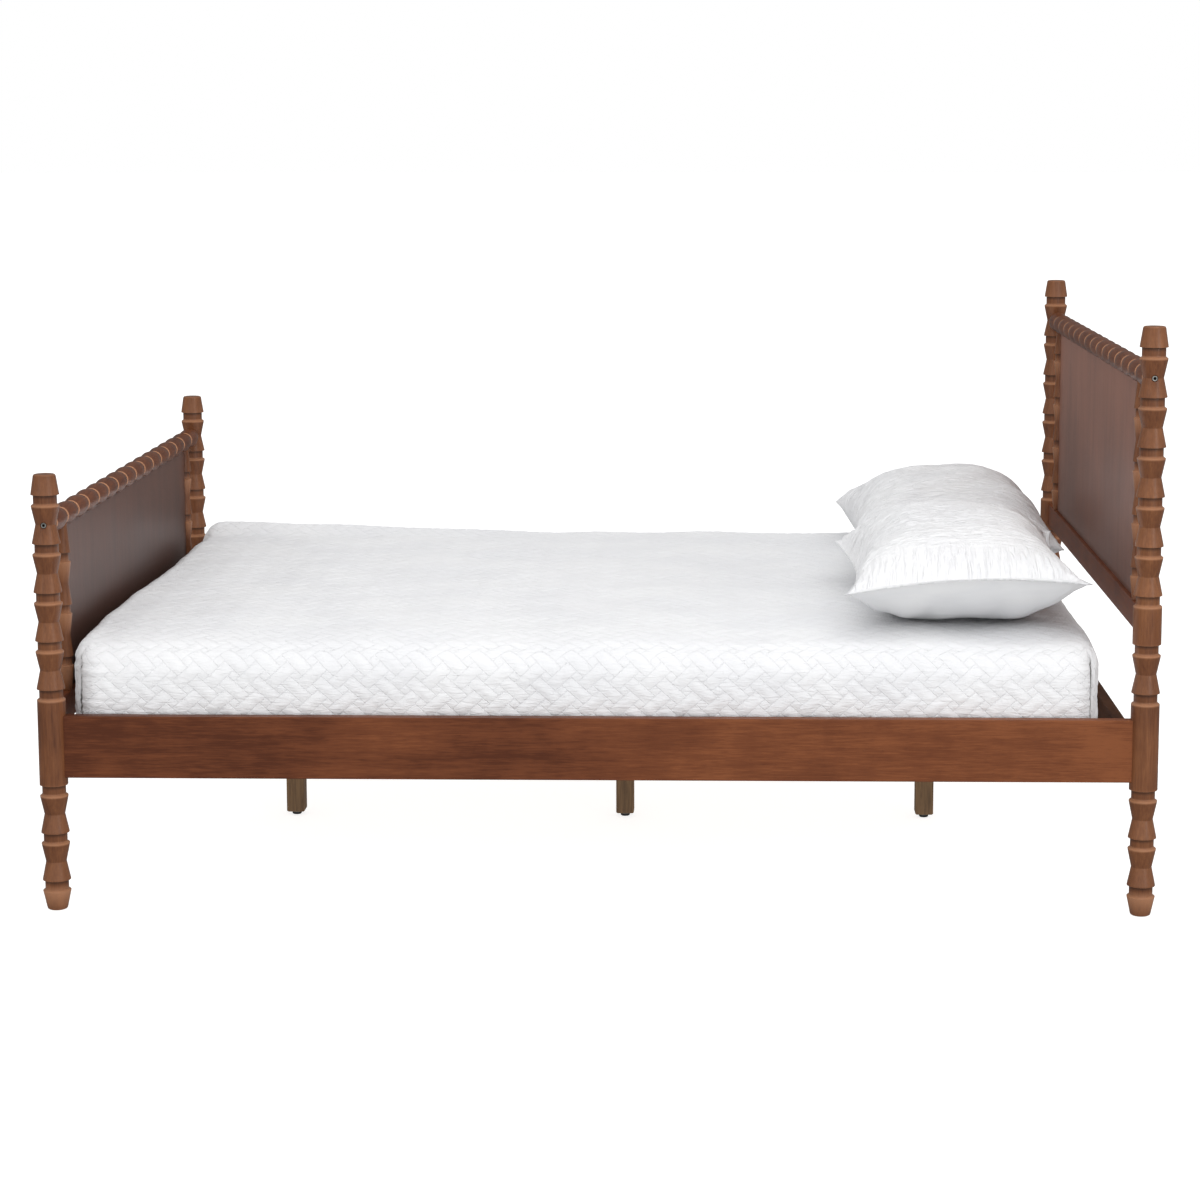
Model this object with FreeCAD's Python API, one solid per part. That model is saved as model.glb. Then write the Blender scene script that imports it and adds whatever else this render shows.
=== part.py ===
import FreeCAD, Part
import math
import os

# Queen-size spindle bed.
# Frame: X runs along the bed with the headboard at +X, Y runs across it, Z is up.
# The origin is on the floor, midway between the four posts. Millimetres throughout.
# "right" is the -Y side and "left" the +Y side, as seen from the foot of the bed.

# ---------------------------------------------------------------- mattress and the room round it
MATTRESS_LENGTH = 2032.0
MATTRESS_WIDTH = 1524.0
MATTRESS_THICKNESS = 202.6
MATTRESS_FOOT_GAP = 27.0
MATTRESS_HEAD_GAP = 77.0
MATTRESS_SIDE_GAP = 20.5
COVER_THICKNESS = 7.0
COVER_HEM = 110.0
COVER_HEM_THICKNESS = 2.0

# ---------------------------------------------------------------- turned posts
RIM_RADIUS = 28.0
WAIST_RADIUS = 20.3
NECK_RADIUS = 23.3
TURNING_PITCH = 97.0
NECK_GAP = 21.5
LIP_BEVEL = 3.5
FOOT_HEIGHT = 39.0
FOOT_TIP_RADIUS = 20.5
FOOT_EDGE = 4.0
CAP_HEIGHT = 40.5
CAP_TOP_RADIUS = 22.0
CAP_EDGE = 4.0
HEAD_TIERS = 11
FOOTBOARD_TIERS = 8
RAIL_BLOCK_FIRST_TIER = 3
RAIL_BLOCK_LAST_TIER = 4
HEAD_BLOCK_TIER = 6
HEAD_BOARD_RISE = 1.5
FOOT_BOARD_DROP = 7.0

# ---------------------------------------------------------------- beaded top rails
BEAD_COUNT = 16
BEAD_RADIUS = 23.0
BEAD_HAUNCH_RADIUS = 19.5
BEAD_NOTCH_RADIUS = 15.4
BEAD_CROWN_SHARE = 0.18
BEAD_HAUNCH_SHARE = 0.62
RAIL_END_SETBACK = 9.0

# ---------------------------------------------------------------- boards, panels and spindles
BOARD_THICKNESS = 24.0
BOARD_HEIGHT = 54.0
BOARD_EDGE = 1.5
CROSS_RAIL_BOTTOM = 270.0
PANEL_THICKNESS = 6.0
PANEL_GROOVE_DEPTH = 9.0
PANEL_INTO_NOTCH = 3.4
PANEL_GROOVE_CLEARANCE = 0.15
SPINDLE_INSET = 130.0
SPINDLE_RIM_RADIUS = 17.0
SPINDLE_WAIST_RADIUS = 11.8
SPINDLE_NECK_RADIUS = 13.6
SPINDLE_INTO_NOTCH = 1.4
SPINDLE_PLAIN_TOP = 10.5
SPINDLE_PITCH = 106.0
SPINDLE_NECK_GAP = 19.0
SPINDLE_BEVEL = 2.4
SPINDLE_TENON_RADIUS = 7.0
SPINDLE_TENON_LENGTH = 14.0

# ---------------------------------------------------------------- side rails, cleats, slats and beam
SIDE_RAIL_THICKNESS = 25.0
SIDE_RAIL_HEIGHT = 125.0
SIDE_RAIL_BOTTOM = 270.0
SIDE_RAIL_EDGE = 2.0
SLAT_COUNT = 12
SLAT_WIDTH = 72.0
SLAT_THICKNESS = 18.0
SLAT_TOP = 342.0
SLAT_DECK_INSET = 80.0
SLAT_END_GAP = 2.5
SLAT_EDGE = 2.5
CLEAT_WIDTH = 22.0
CLEAT_HEIGHT = 30.0
CLEAT_INSET = 95.0
BEAM_WIDTH = 32.0
BEAM_HEIGHT = 60.0
BEAM_END_GAP = 1.0
BRACKET_METAL = 2.5
BRACKET_REACH = 42.0
BRACKET_SIDE_HEIGHT = 44.0
BRACKET_EAR = 26.0
BRACKET_EAR_RISE = 10.0
BRACKET_EAR_FOOT_GAP = 3.0
BRACKET_SCREW_SPACING = 26.0

# ---------------------------------------------------------------- centre legs and glides
LEG_FROM_FOOT_POST = 365.0
LEG_FROM_HEAD_POST = 371.0
LEG_MIDDLE_OFFSET = 33.0
LEG_WIDTH = 40.0
LEG_BOTTOM = 8.0
LEG_CHAMFER = 3.0
SOCKET_FLANGE_RADIUS = 12.0
SOCKET_FLANGE_HEIGHT = 2.5
SOCKET_FLANGE_TAPER = 1.5
SOCKET_BODY_RADIUS = 6.0
SOCKET_BODY_LENGTH = 18.0
GLIDE_RADIUS = 10.5
GLIDE_STEM_RADIUS = 3.6
GLIDE_STEM_CLEARANCE = 0.3
GLIDE_STEM_LENGTH = 26.0
GLIDE_SOCKET_GAP = 0.3
GLIDE_EDGE = 1.7

# ---------------------------------------------------------------- fasteners
TOP_BOLT_RADIUS = 3.0
TOP_BOLT_HEAD_RADIUS = 5.0
TOP_BOLT_HEAD_HEIGHT = 6.0
TOP_BOLT_HEAD_SINK = 1.5
TOP_BOLT_SOCKET_RADIUS = 2.9
TOP_BOLT_SOCKET_DEPTH = 3.0
TOP_BOLT_BORE_RADIUS = 6.4
TOP_BOLT_INTO_RAIL = 42.0
TOP_NUT_RADIUS = 5.0
TOP_NUT_LENGTH = 26.0
SIDE_BOLT_RADIUS = 4.0
SIDE_BOLT_HEAD_RADIUS = 6.5
SIDE_BOLT_HEAD_HEIGHT = 8.0
SIDE_BOLT_HEAD_SINK = 2.0
SIDE_BOLT_BORE_RADIUS = 7.5
SIDE_BOLT_SPACING = 60.0
SIDE_BOLT_INTO_RAIL = 66.0
SIDE_NUT_RADIUS = 5.5
SIDE_NUT_LENGTH = 18.0
DOWEL_RADIUS = 4.0
DOWEL_LENGTH = 40.0
DOWEL_SPACING = 28.0
SCREW_RADIUS = 2.0
SCREW_HEAD_RADIUS = 4.0
SCREW_HEAD_HEIGHT = 2.4
SLAT_SCREW_LENGTH = 34.0
CLEAT_SCREW_LENGTH = 38.0
CLEAT_SCREW_EVERY = 2
BRACKET_SCREW_LENGTH = 20.0
LEG_STUD_RADIUS = 4.0
LEG_STUD_IN_BEAM = 34.0
LEG_STUD_IN_LEG = 40.0

# ---------------------------------------------------------------- soft goods
MATTRESS_SOFT_EDGE = 34.0
MATTRESS_CORNER = 46.0
MATTRESS_CROWN = 7.0
PILLOW_WIDTH = 500.0
PILLOW_LENGTH = 742.0
PILLOW_HEIGHT = 222.0
PILLOW_SEAM_HEIGHT = 88.0
PILLOW_REST_HALF_WIDTH = 130.0
PILLOW_EDGE = 9.0
PILLOW_CORNER_WIDTH = 30.0
PILLOW_WAIST = 16.0
PILLOW_FROM_HEAD = {"left": 222.0, "right": 256.0}
PILLOW_GAP = 14.0

# ---------------------------------------------------------------- clearances
SOFT_GAP = 0.4
FIT = 0.1
HOLE_CLEARANCE = 0.2

# ---------------------------------------------------------------- worked-out places
HALF_LENGTH = (MATTRESS_FOOT_GAP + MATTRESS_LENGTH + MATTRESS_HEAD_GAP + BOARD_THICKNESS) / 2
HALF_WIDTH = MATTRESS_WIDTH / 2 + MATTRESS_SIDE_GAP + SIDE_RAIL_THICKNESS / 2
MATTRESS_SHIFT = (MATTRESS_FOOT_GAP - MATTRESS_HEAD_GAP) / 2
MATTRESS_BOTTOM = SLAT_TOP + SOFT_GAP
MATTRESS_TOP = MATTRESS_BOTTOM + MATTRESS_THICKNESS
LEG_POSITIONS = {
    "foot": LEG_FROM_FOOT_POST - HALF_LENGTH,
    "middle": LEG_MIDDLE_OFFSET,
    "head": HALF_LENGTH - LEG_FROM_HEAD_POST,
}
BLOCK_HEIGHT = TURNING_PITCH - NECK_GAP
SLAT_BOTTOM = SLAT_TOP - SLAT_THICKNESS
ENDS = {"head": 1, "foot": -1}
SIDES = {"left": 1, "right": -1}
TIERS = {"head": HEAD_TIERS, "foot": FOOTBOARD_TIERS}


def vec(x, y, z):
    return FreeCAD.Vector(x, y, z)


def tier_top(tier):
    """Height of the rim at the top of a turned block, counted in pitches above the foot."""
    return FOOT_HEIGHT + tier * TURNING_PITCH


def tier_bottom(tier):
    return tier_top(tier - 1) + NECK_GAP


def tier_middle(tier):
    return (tier_top(tier) + tier_bottom(tier)) / 2


TOP_RAIL_HEIGHT = {end: tier_middle(TIERS[end]) for end in ENDS}
BOARD_MIDDLE = {
    "head": tier_middle(HEAD_BLOCK_TIER) + HEAD_BOARD_RISE,
    "foot": tier_top(RAIL_BLOCK_LAST_TIER) - BOARD_HEIGHT / 2 - FOOT_BOARD_DROP,
}
CROSS_RAIL_MIDDLE = CROSS_RAIL_BOTTOM + BOARD_HEIGHT / 2
SIDE_RAIL_MIDDLE = SIDE_RAIL_BOTTOM + SIDE_RAIL_HEIGHT / 2
RAIL_INNER_FACE = HALF_WIDTH - SIDE_RAIL_THICKNESS / 2
SPINDLE_Y = HALF_WIDTH - SPINDLE_INSET


# ================================================================ shape helpers
def box(x0, x1, y0, y1, z0, z1):
    return Part.makeBox(x1 - x0, y1 - y0, z1 - z0, vec(x0, y0, z0))


def rod(radius, start, end):
    """A round bar between two points."""
    along = end.sub(start)
    return Part.makeCylinder(radius, along.Length, start, along)


def revolve_outline(points):
    """Solid of revolution about Z from (radius, height) points."""
    corners = [vec(radius, 0, height) for radius, height in points]
    corners.append(corners[0])
    face = Part.Face(Part.makePolygon(corners))
    return face.revolve(vec(0, 0, 0), vec(0, 0, 1), 360)


def eased_box(x0, x1, y0, y1, z0, z1, edge, along):
    """A board whose four long edges are eased, running along "x", "y" or "z"."""
    board = box(x0, x1, y0, y1, z0, z1)
    index = {"x": 0, "y": 1, "z": 2}[along]
    long_edges = []
    for candidate in board.Edges:
        first, last = candidate.Vertexes[0].Point, candidate.Vertexes[-1].Point
        if abs(last[index] - first[index]) > 1e-6:
            long_edges.append(candidate)
    return board.makeChamfer(edge, long_edges)


def wood_screw(tip, head):
    """A flat-headed wood screw with its head's face at head."""
    inward = tip.sub(head).normalize()
    under_head = head.add(inward * SCREW_HEAD_HEIGHT)
    return rod(SCREW_HEAD_RADIUS, head, under_head).fuse(rod(SCREW_RADIUS, under_head, tip))


def socket_bolt(head_face, inward, length, radius, head_radius, head_height, socket):
    """A socket-head bolt from its head's face along inward."""
    under_head = head_face.add(inward * head_height)
    bolt = rod(head_radius, head_face, under_head)
    bolt = bolt.fuse(rod(radius, under_head, head_face.add(inward * length)))
    if socket:
        polygon = []
        side = vec(0, 0, 1)
        across = inward.cross(side)
        for step in range(7):
            angle = math.radians(60 * step)
            spoke = side * math.cos(angle) + across * math.sin(angle)
            polygon.append(head_face.add(spoke * TOP_BOLT_SOCKET_RADIUS))
        recess = Part.Face(Part.makePolygon(polygon)).extrude(inward * TOP_BOLT_SOCKET_DEPTH)
        bolt = bolt.cut(recess)
    return bolt


def write(name, shape):
    shape.exportStep(os.path.join("parts", name + ".step"))


def group(solids):
    return Part.makeCompound(solids)


# ================================================================ turned posts
def hourglass(bottom, top, rim, waist, neck, bevel):
    """Outline of one hourglass: flat underside, two cones meeting at the waist, bevelled lip."""
    return [
        (neck, bottom),
        (rim, bottom),
        (waist, (bottom + top) / 2),
        (rim, top),
        (neck, top + bevel),
    ]


def straight_block(bottom, top):
    return [(NECK_RADIUS, bottom), (RIM_RADIUS, bottom), (RIM_RADIUS, top), (NECK_RADIUS, top + LIP_BEVEL)]


def post_outline(end):
    points = [
        (0, 0),
        (FOOT_TIP_RADIUS - FOOT_EDGE, 0),
        (FOOT_TIP_RADIUS, FOOT_EDGE),
        (RIM_RADIUS, FOOT_HEIGHT),
        (NECK_RADIUS, FOOT_HEIGHT + LIP_BEVEL),
    ]
    tier = 1
    while tier <= TIERS[end]:
        if tier == RAIL_BLOCK_FIRST_TIER:
            points += straight_block(tier_bottom(tier), tier_top(RAIL_BLOCK_LAST_TIER))
            tier = RAIL_BLOCK_LAST_TIER
        elif end == "head" and tier == HEAD_BLOCK_TIER:
            points += straight_block(tier_bottom(tier), tier_top(tier))
        else:
            points += hourglass(
                tier_bottom(tier), tier_top(tier), RIM_RADIUS, WAIST_RADIUS, NECK_RADIUS, LIP_BEVEL
            )
        tier += 1
    cap_bottom = tier_top(TIERS[end]) + NECK_GAP
    points += [
        (NECK_RADIUS, cap_bottom),
        (RIM_RADIUS, cap_bottom),
        (CAP_TOP_RADIUS, cap_bottom + CAP_HEIGHT - CAP_EDGE),
        (CAP_TOP_RADIUS - CAP_EDGE, cap_bottom + CAP_HEIGHT),
        (0, cap_bottom + CAP_HEIGHT),
    ]
    return points


def side_bolt_heights():
    return [SIDE_RAIL_MIDDLE - SIDE_BOLT_SPACING / 2, SIDE_RAIL_MIDDLE + SIDE_BOLT_SPACING / 2]


def dowel_heights(end):
    heights = []
    for middle in (BOARD_MIDDLE[end], CROSS_RAIL_MIDDLE):
        heights += [middle - DOWEL_SPACING / 2, middle + DOWEL_SPACING / 2]
    return heights


def dowels(end, side, radius, extra):
    """Dowels that cross from the boards of one end into the post on one side."""
    seam = HALF_WIDTH - RIM_RADIUS
    x = ENDS[end] * HALF_LENGTH
    half = DOWEL_LENGTH / 2 + extra
    pins = []
    for height in dowel_heights(end):
        start = vec(x, SIDES[side] * (seam - half), height)
        finish = vec(x, SIDES[side] * (seam + half), height)
        pins.append(rod(radius, start, finish))
    return pins


def top_bolt_head_face(end, side):
    sink = HALF_WIDTH + WAIST_RADIUS - TOP_BOLT_HEAD_SINK
    return vec(ENDS[end] * HALF_LENGTH, SIDES[side] * sink, TOP_RAIL_HEIGHT[end])


def side_bolt_head_face(end, side, height):
    sink = HALF_LENGTH + RIM_RADIUS - SIDE_BOLT_HEAD_SINK
    return vec(ENDS[end] * sink, SIDES[side] * HALF_WIDTH, height)


def make_post(end, side):
    post = revolve_outline(post_outline(end))
    post.translate(vec(ENDS[end] * HALF_LENGTH, SIDES[side] * HALF_WIDTH, 0))
    cutters = dowels(end, side, DOWEL_RADIUS + FIT, FIT)
    inward_y = vec(0, -SIDES[side], 0)
    head = top_bolt_head_face(end, side)
    through = RIM_RADIUS * 2
    cutters.append(rod(TOP_BOLT_RADIUS + HOLE_CLEARANCE, head, head.add(inward_y * through)))
    seat = head.add(inward_y * TOP_BOLT_HEAD_HEIGHT)
    cutters.append(rod(TOP_BOLT_BORE_RADIUS, seat, head.sub(inward_y * RIM_RADIUS)))
    inward_x = vec(-ENDS[end], 0, 0)
    for height in side_bolt_heights():
        head = side_bolt_head_face(end, side, height)
        cutters.append(rod(SIDE_BOLT_RADIUS + HOLE_CLEARANCE, head, head.add(inward_x * through)))
        seat = head.add(inward_x * SIDE_BOLT_HEAD_HEIGHT)
        cutters.append(rod(SIDE_BOLT_BORE_RADIUS, seat, head.sub(inward_x * RIM_RADIUS)))
    return post.cut(cutters)


# ================================================================ beaded top rails
def top_rail_outline():
    """Half outline of the rail: barrel beads, crown, haunches and a deep notch between them."""
    half_bead = (HALF_WIDTH - WAIST_RADIUS) / BEAD_COUNT
    reach = HALF_WIDTH - RAIL_END_SETBACK
    crown = half_bead * BEAD_CROWN_SHARE
    haunch = half_bead * BEAD_HAUNCH_SHARE
    points = [(0, -reach), (BEAD_NOTCH_RADIUS, -reach), (BEAD_NOTCH_RADIUS, -half_bead * BEAD_COUNT)]
    for bead in range(BEAD_COUNT):
        middle = (2 * bead + 1 - BEAD_COUNT) * half_bead
        points.append((BEAD_HAUNCH_RADIUS, middle - haunch))
        points.append((BEAD_RADIUS, middle - crown))
        points.append((BEAD_RADIUS, middle + crown))
        points.append((BEAD_HAUNCH_RADIUS, middle + haunch))
        points.append((BEAD_NOTCH_RADIUS, middle + half_bead))
    points += [(BEAD_NOTCH_RADIUS, reach), (0, reach)]
    return points


def waist_saddle(end, side):
    """The post's top hourglass, a hair larger, that the rail's end is coped to."""
    tier = TIERS[end]
    outline = [(0, tier_bottom(tier))]
    outline += hourglass(
        tier_bottom(tier), tier_top(tier), RIM_RADIUS + FIT, WAIST_RADIUS + FIT, NECK_RADIUS, LIP_BEVEL
    )[1:]
    outline.append((0, tier_top(tier) + LIP_BEVEL))
    saddle = revolve_outline(outline)
    saddle.translate(vec(ENDS[end] * HALF_LENGTH, SIDES[side] * HALF_WIDTH, 0))
    return saddle


def top_nut_centre(end, side):
    inset = HALF_WIDTH - WAIST_RADIUS - TOP_BOLT_INTO_RAIL + TOP_NUT_RADIUS * 2
    return vec(ENDS[end] * HALF_LENGTH, SIDES[side] * inset, TOP_RAIL_HEIGHT[end])


def top_nut(end, side, radius, low, high):
    """Barrel nut, or its hole, standing upright across the top rail's axis."""
    centre = top_nut_centre(end, side)
    return rod(radius, centre.sub(vec(0, 0, low)), centre.add(vec(0, 0, high)))


def spindle_base(end):
    return BOARD_MIDDLE[end] + BOARD_HEIGHT / 2


def spindle_top(end):
    """Floor of the round socket in the rail's underside that takes the spindle's end."""
    return TOP_RAIL_HEIGHT[end] - BEAD_NOTCH_RADIUS + SPINDLE_INTO_NOTCH


def panel_box(end, grow):
    """The panel, or with grow the groove it stands in."""
    x = ENDS[end] * HALF_LENGTH
    half = PANEL_THICKNESS / 2 + grow
    reach = SPINDLE_Y - SPINDLE_WAIST_RADIUS + PANEL_GROOVE_DEPTH + grow
    bottom = spindle_base(end) - PANEL_GROOVE_DEPTH - grow
    top = TOP_RAIL_HEIGHT[end] - BEAD_NOTCH_RADIUS + PANEL_INTO_NOTCH + grow
    return box(x - half, x + half, -reach, reach, bottom, top)


def spindle_tenons(end, side, grow):
    x = ENDS[end] * HALF_LENGTH
    y = SIDES[side] * SPINDLE_Y
    low = spindle_base(end)
    high = spindle_top(end)
    radius = SPINDLE_TENON_RADIUS + grow
    length = SPINDLE_TENON_LENGTH + grow
    bottom = rod(radius, vec(x, y, low - length), vec(x, y, low))
    top = rod(radius, vec(x, y, high - radius), vec(x, y, high + length))
    return bottom, top


def make_top_rail(end):
    rail = revolve_outline(top_rail_outline())
    rail.rotate(vec(0, 0, 0), vec(1, 0, 0), -90)
    rail.translate(vec(ENDS[end] * HALF_LENGTH, 0, TOP_RAIL_HEIGHT[end]))
    cutters = [panel_box(end, PANEL_GROOVE_CLEARANCE)]
    for side in SIDES:
        cutters.append(waist_saddle(end, side))
        cutters.append(spindle_tenons(end, side, FIT)[1])
        seat = vec(ENDS[end] * HALF_LENGTH, SIDES[side] * SPINDLE_Y, spindle_top(end))
        below = seat.sub(vec(0, 0, BEAD_RADIUS))
        cutters.append(rod(SPINDLE_WAIST_RADIUS + FIT, below, seat))
        tip = top_bolt_head_face(end, side)
        inward = vec(0, -SIDES[side], 0)
        depth = WAIST_RADIUS * 2 + TOP_BOLT_INTO_RAIL + FIT
        cutters.append(rod(TOP_BOLT_RADIUS + FIT, tip, tip.add(inward * depth)))
        cutters.append(top_nut(end, side, TOP_NUT_RADIUS + FIT, BEAD_RADIUS * 2, TOP_NUT_LENGTH / 2))
    return rail.cut(cutters)


def make_top_bolt(end, side):
    head = top_bolt_head_face(end, side)
    inward = vec(0, -SIDES[side], 0)
    length = WAIST_RADIUS * 2 + TOP_BOLT_INTO_RAIL - TOP_BOLT_HEAD_SINK
    return socket_bolt(
        head, inward, length, TOP_BOLT_RADIUS, TOP_BOLT_HEAD_RADIUS, TOP_BOLT_HEAD_HEIGHT, True
    )


def make_top_nut(end, side):
    nut = top_nut(end, side, TOP_NUT_RADIUS, TOP_NUT_LENGTH / 2, TOP_NUT_LENGTH / 2)
    start = top_bolt_head_face(end, side)
    return nut.cut(rod(TOP_BOLT_RADIUS + FIT, start, start.add(vec(0, -SIDES[side] * HALF_WIDTH, 0))))


# ================================================================ spindles
def spindle_outline(end):
    """Half hourglass, whole hourglasses, half hourglass and a plain end that stands in the rail."""
    low = spindle_base(end)
    high = spindle_top(end)
    turned_top = high - SPINDLE_PLAIN_TOP
    middle = (low + turned_top) / 2
    necks = int(round((turned_top - low) / SPINDLE_PITCH))
    half_glass = (SPINDLE_PITCH - SPINDLE_NECK_GAP) / 2
    half_neck = SPINDLE_NECK_GAP / 2
    points = [(0, low - SPINDLE_TENON_LENGTH), (SPINDLE_TENON_RADIUS, low - SPINDLE_TENON_LENGTH)]
    points += [(SPINDLE_TENON_RADIUS, low), (SPINDLE_WAIST_RADIUS, low)]
    for index in range(necks):
        neck_middle = middle + (index - (necks - 1) / 2) * SPINDLE_PITCH
        lower_rim = neck_middle - half_neck
        upper_rim = neck_middle + half_neck
        points.append((SPINDLE_RIM_RADIUS, lower_rim))
        points.append((SPINDLE_NECK_RADIUS, lower_rim + SPINDLE_BEVEL))
        points.append((SPINDLE_NECK_RADIUS, upper_rim))
        points.append((SPINDLE_RIM_RADIUS, upper_rim))
        if index < necks - 1:
            points.append((SPINDLE_WAIST_RADIUS, upper_rim + half_glass))
    top = high - FIT
    points += [(SPINDLE_WAIST_RADIUS, turned_top), (SPINDLE_WAIST_RADIUS, top)]
    points.append((SPINDLE_TENON_RADIUS, top))
    points += [(SPINDLE_TENON_RADIUS, high + SPINDLE_TENON_LENGTH), (0, high + SPINDLE_TENON_LENGTH)]
    return points


def make_spindle(end, side):
    spindle = revolve_outline(spindle_outline(end))
    spindle.translate(vec(ENDS[end] * HALF_LENGTH, SIDES[side] * SPINDLE_Y, 0))
    return spindle.cut(panel_box(end, PANEL_GROOVE_CLEARANCE))


# ================================================================ boards and panels
def board_between_posts(end, bottom, edge):
    """A board from post to post, its ends coped to the round posts."""
    x = ENDS[end] * HALF_LENGTH
    half = BOARD_THICKNESS / 2
    board = eased_box(x - half, x + half, -HALF_WIDTH, HALF_WIDTH, bottom, bottom + BOARD_HEIGHT, edge, "y")
    cutters = []
    for side in SIDES:
        y = SIDES[side] * HALF_WIDTH
        foot = vec(x, y, bottom - edge)
        cutters.append(rod(RIM_RADIUS + FIT, foot, foot.add(vec(0, 0, BOARD_HEIGHT + 2 * edge))))
        cutters += dowels(end, side, DOWEL_RADIUS + FIT, FIT)
    return board.cut(cutters)


def make_lower_board(end):
    board = board_between_posts(end, BOARD_MIDDLE[end] - BOARD_HEIGHT / 2, BOARD_EDGE)
    cutters = [panel_box(end, PANEL_GROOVE_CLEARANCE)]
    for side in SIDES:
        cutters.append(spindle_tenons(end, side, FIT)[0])
    return board.cut(cutters)


def make_panel(end):
    panel = panel_box(end, 0)
    return panel


# ================================================================ side rails and cleats
def side_nut(end, side, height, radius, low, high):
    """Barrel nut, or its hole from the inner face, lying across the side rail."""
    x = ENDS[end] * (HALF_LENGTH - RIM_RADIUS - SIDE_BOLT_INTO_RAIL + SIDE_NUT_RADIUS * 2)
    inner = vec(x, SIDES[side] * (HALF_WIDTH - low), height)
    outer = vec(x, SIDES[side] * (HALF_WIDTH + high), height)
    return rod(radius, inner, outer)


def make_side_rail(side):
    y = SIDES[side] * HALF_WIDTH
    half = SIDE_RAIL_THICKNESS / 2
    rail = eased_box(
        -HALF_LENGTH,
        HALF_LENGTH,
        y - half,
        y + half,
        SIDE_RAIL_BOTTOM,
        SIDE_RAIL_BOTTOM + SIDE_RAIL_HEIGHT,
        SIDE_RAIL_EDGE,
        "x",
    )
    cutters = []
    for end in ENDS:
        foot = vec(ENDS[end] * HALF_LENGTH, y, SIDE_RAIL_BOTTOM - SIDE_RAIL_EDGE)
        top = foot.add(vec(0, 0, SIDE_RAIL_HEIGHT + 2 * SIDE_RAIL_EDGE))
        cutters.append(rod(RIM_RADIUS + FIT, foot, top))
        for height in side_bolt_heights():
            head = side_bolt_head_face(end, side, height)
            depth = RIM_RADIUS * 2 + SIDE_BOLT_INTO_RAIL + FIT
            inward = vec(-ENDS[end], 0, 0)
            cutters.append(rod(SIDE_BOLT_RADIUS + FIT, head, head.add(inward * depth)))
            nut_half = SIDE_NUT_LENGTH / 2
            cutters.append(side_nut(end, side, height, SIDE_NUT_RADIUS + FIT, RIM_RADIUS, nut_half))
    return rail.cut(cutters)


def cleat_screw_places():
    """Midway between slats, at every second gap."""
    slats = slat_places()
    return [(slats[gap] + slats[gap + 1]) / 2 for gap in range(0, SLAT_COUNT - 1, CLEAT_SCREW_EVERY)]


def make_cleat(side):
    inner = RAIL_INNER_FACE - CLEAT_WIDTH
    low, high = sorted((SIDES[side] * inner, SIDES[side] * RAIL_INNER_FACE))
    half = HALF_LENGTH - CLEAT_INSET
    cleat = box(-half, half, low, high, SLAT_BOTTOM - CLEAT_HEIGHT, SLAT_BOTTOM)
    return cleat.cut(make_cleat_screws(side))


def make_cleat_screws(side):
    height = SLAT_BOTTOM - CLEAT_HEIGHT / 2
    screws = []
    for x in cleat_screw_places():
        head = vec(x, SIDES[side] * (RAIL_INNER_FACE - CLEAT_WIDTH), height)
        tip = vec(x, SIDES[side] * (RAIL_INNER_FACE - CLEAT_WIDTH + CLEAT_SCREW_LENGTH), height)
        screws.append(wood_screw(tip, head))
    return screws


# ================================================================ slatted deck and beam
def slat_places():
    reach = HALF_LENGTH - SLAT_DECK_INSET - SLAT_WIDTH / 2
    step = 2 * reach / (SLAT_COUNT - 1)
    return [-reach + step * index for index in range(SLAT_COUNT)]


def slat_screws(x):
    y = RAIL_INNER_FACE - CLEAT_WIDTH / 2
    screws = []
    for side in SIDES.values():
        screws.append(
            wood_screw(vec(x, side * y, SLAT_TOP - SLAT_SCREW_LENGTH), vec(x, side * y, SLAT_TOP))
        )
    return screws


def make_slat(x):
    half = SLAT_WIDTH / 2
    reach = RAIL_INNER_FACE - SLAT_END_GAP
    slat = eased_box(x - half, x + half, -reach, reach, SLAT_BOTTOM, SLAT_TOP, SLAT_EDGE, "y")
    return slat.cut(slat_screws(x))


def beam_end():
    return HALF_LENGTH - BOARD_THICKNESS / 2 - BEAM_END_GAP


def leg_studs(radius, extra):
    low = SLAT_BOTTOM - BEAM_HEIGHT - LEG_STUD_IN_LEG - extra
    high = SLAT_BOTTOM - BEAM_HEIGHT + LEG_STUD_IN_BEAM + extra
    return [rod(radius, vec(x, 0, low), vec(x, 0, high)) for x in LEG_POSITIONS.values()]


def make_beam():
    half = BEAM_WIDTH / 2
    reach = beam_end()
    beam = box(-reach, reach, -half, half, SLAT_BOTTOM - BEAM_HEIGHT, SLAT_BOTTOM)
    return beam.cut(leg_studs(LEG_STUD_RADIUS + FIT, FIT))


def bracket_screw_places():
    """Across and up: two screws in each ear of the bracket."""
    y = BEAM_WIDTH / 2 + BRACKET_METAL + BRACKET_EAR / 2
    half = BRACKET_SCREW_SPACING / 2
    return [(side * y, CROSS_RAIL_MIDDLE + lift) for side in (-1, 1) for lift in (-half, half)]


def bracket_screws(end):
    face = HALF_LENGTH - BOARD_THICKNESS / 2 - BRACKET_METAL
    screws = []
    for y, z in bracket_screw_places():
        head = vec(ENDS[end] * face, y, z)
        tip = vec(ENDS[end] * (face + BRACKET_SCREW_LENGTH), y, z)
        screws.append(wood_screw(tip, head))
    return screws


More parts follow.
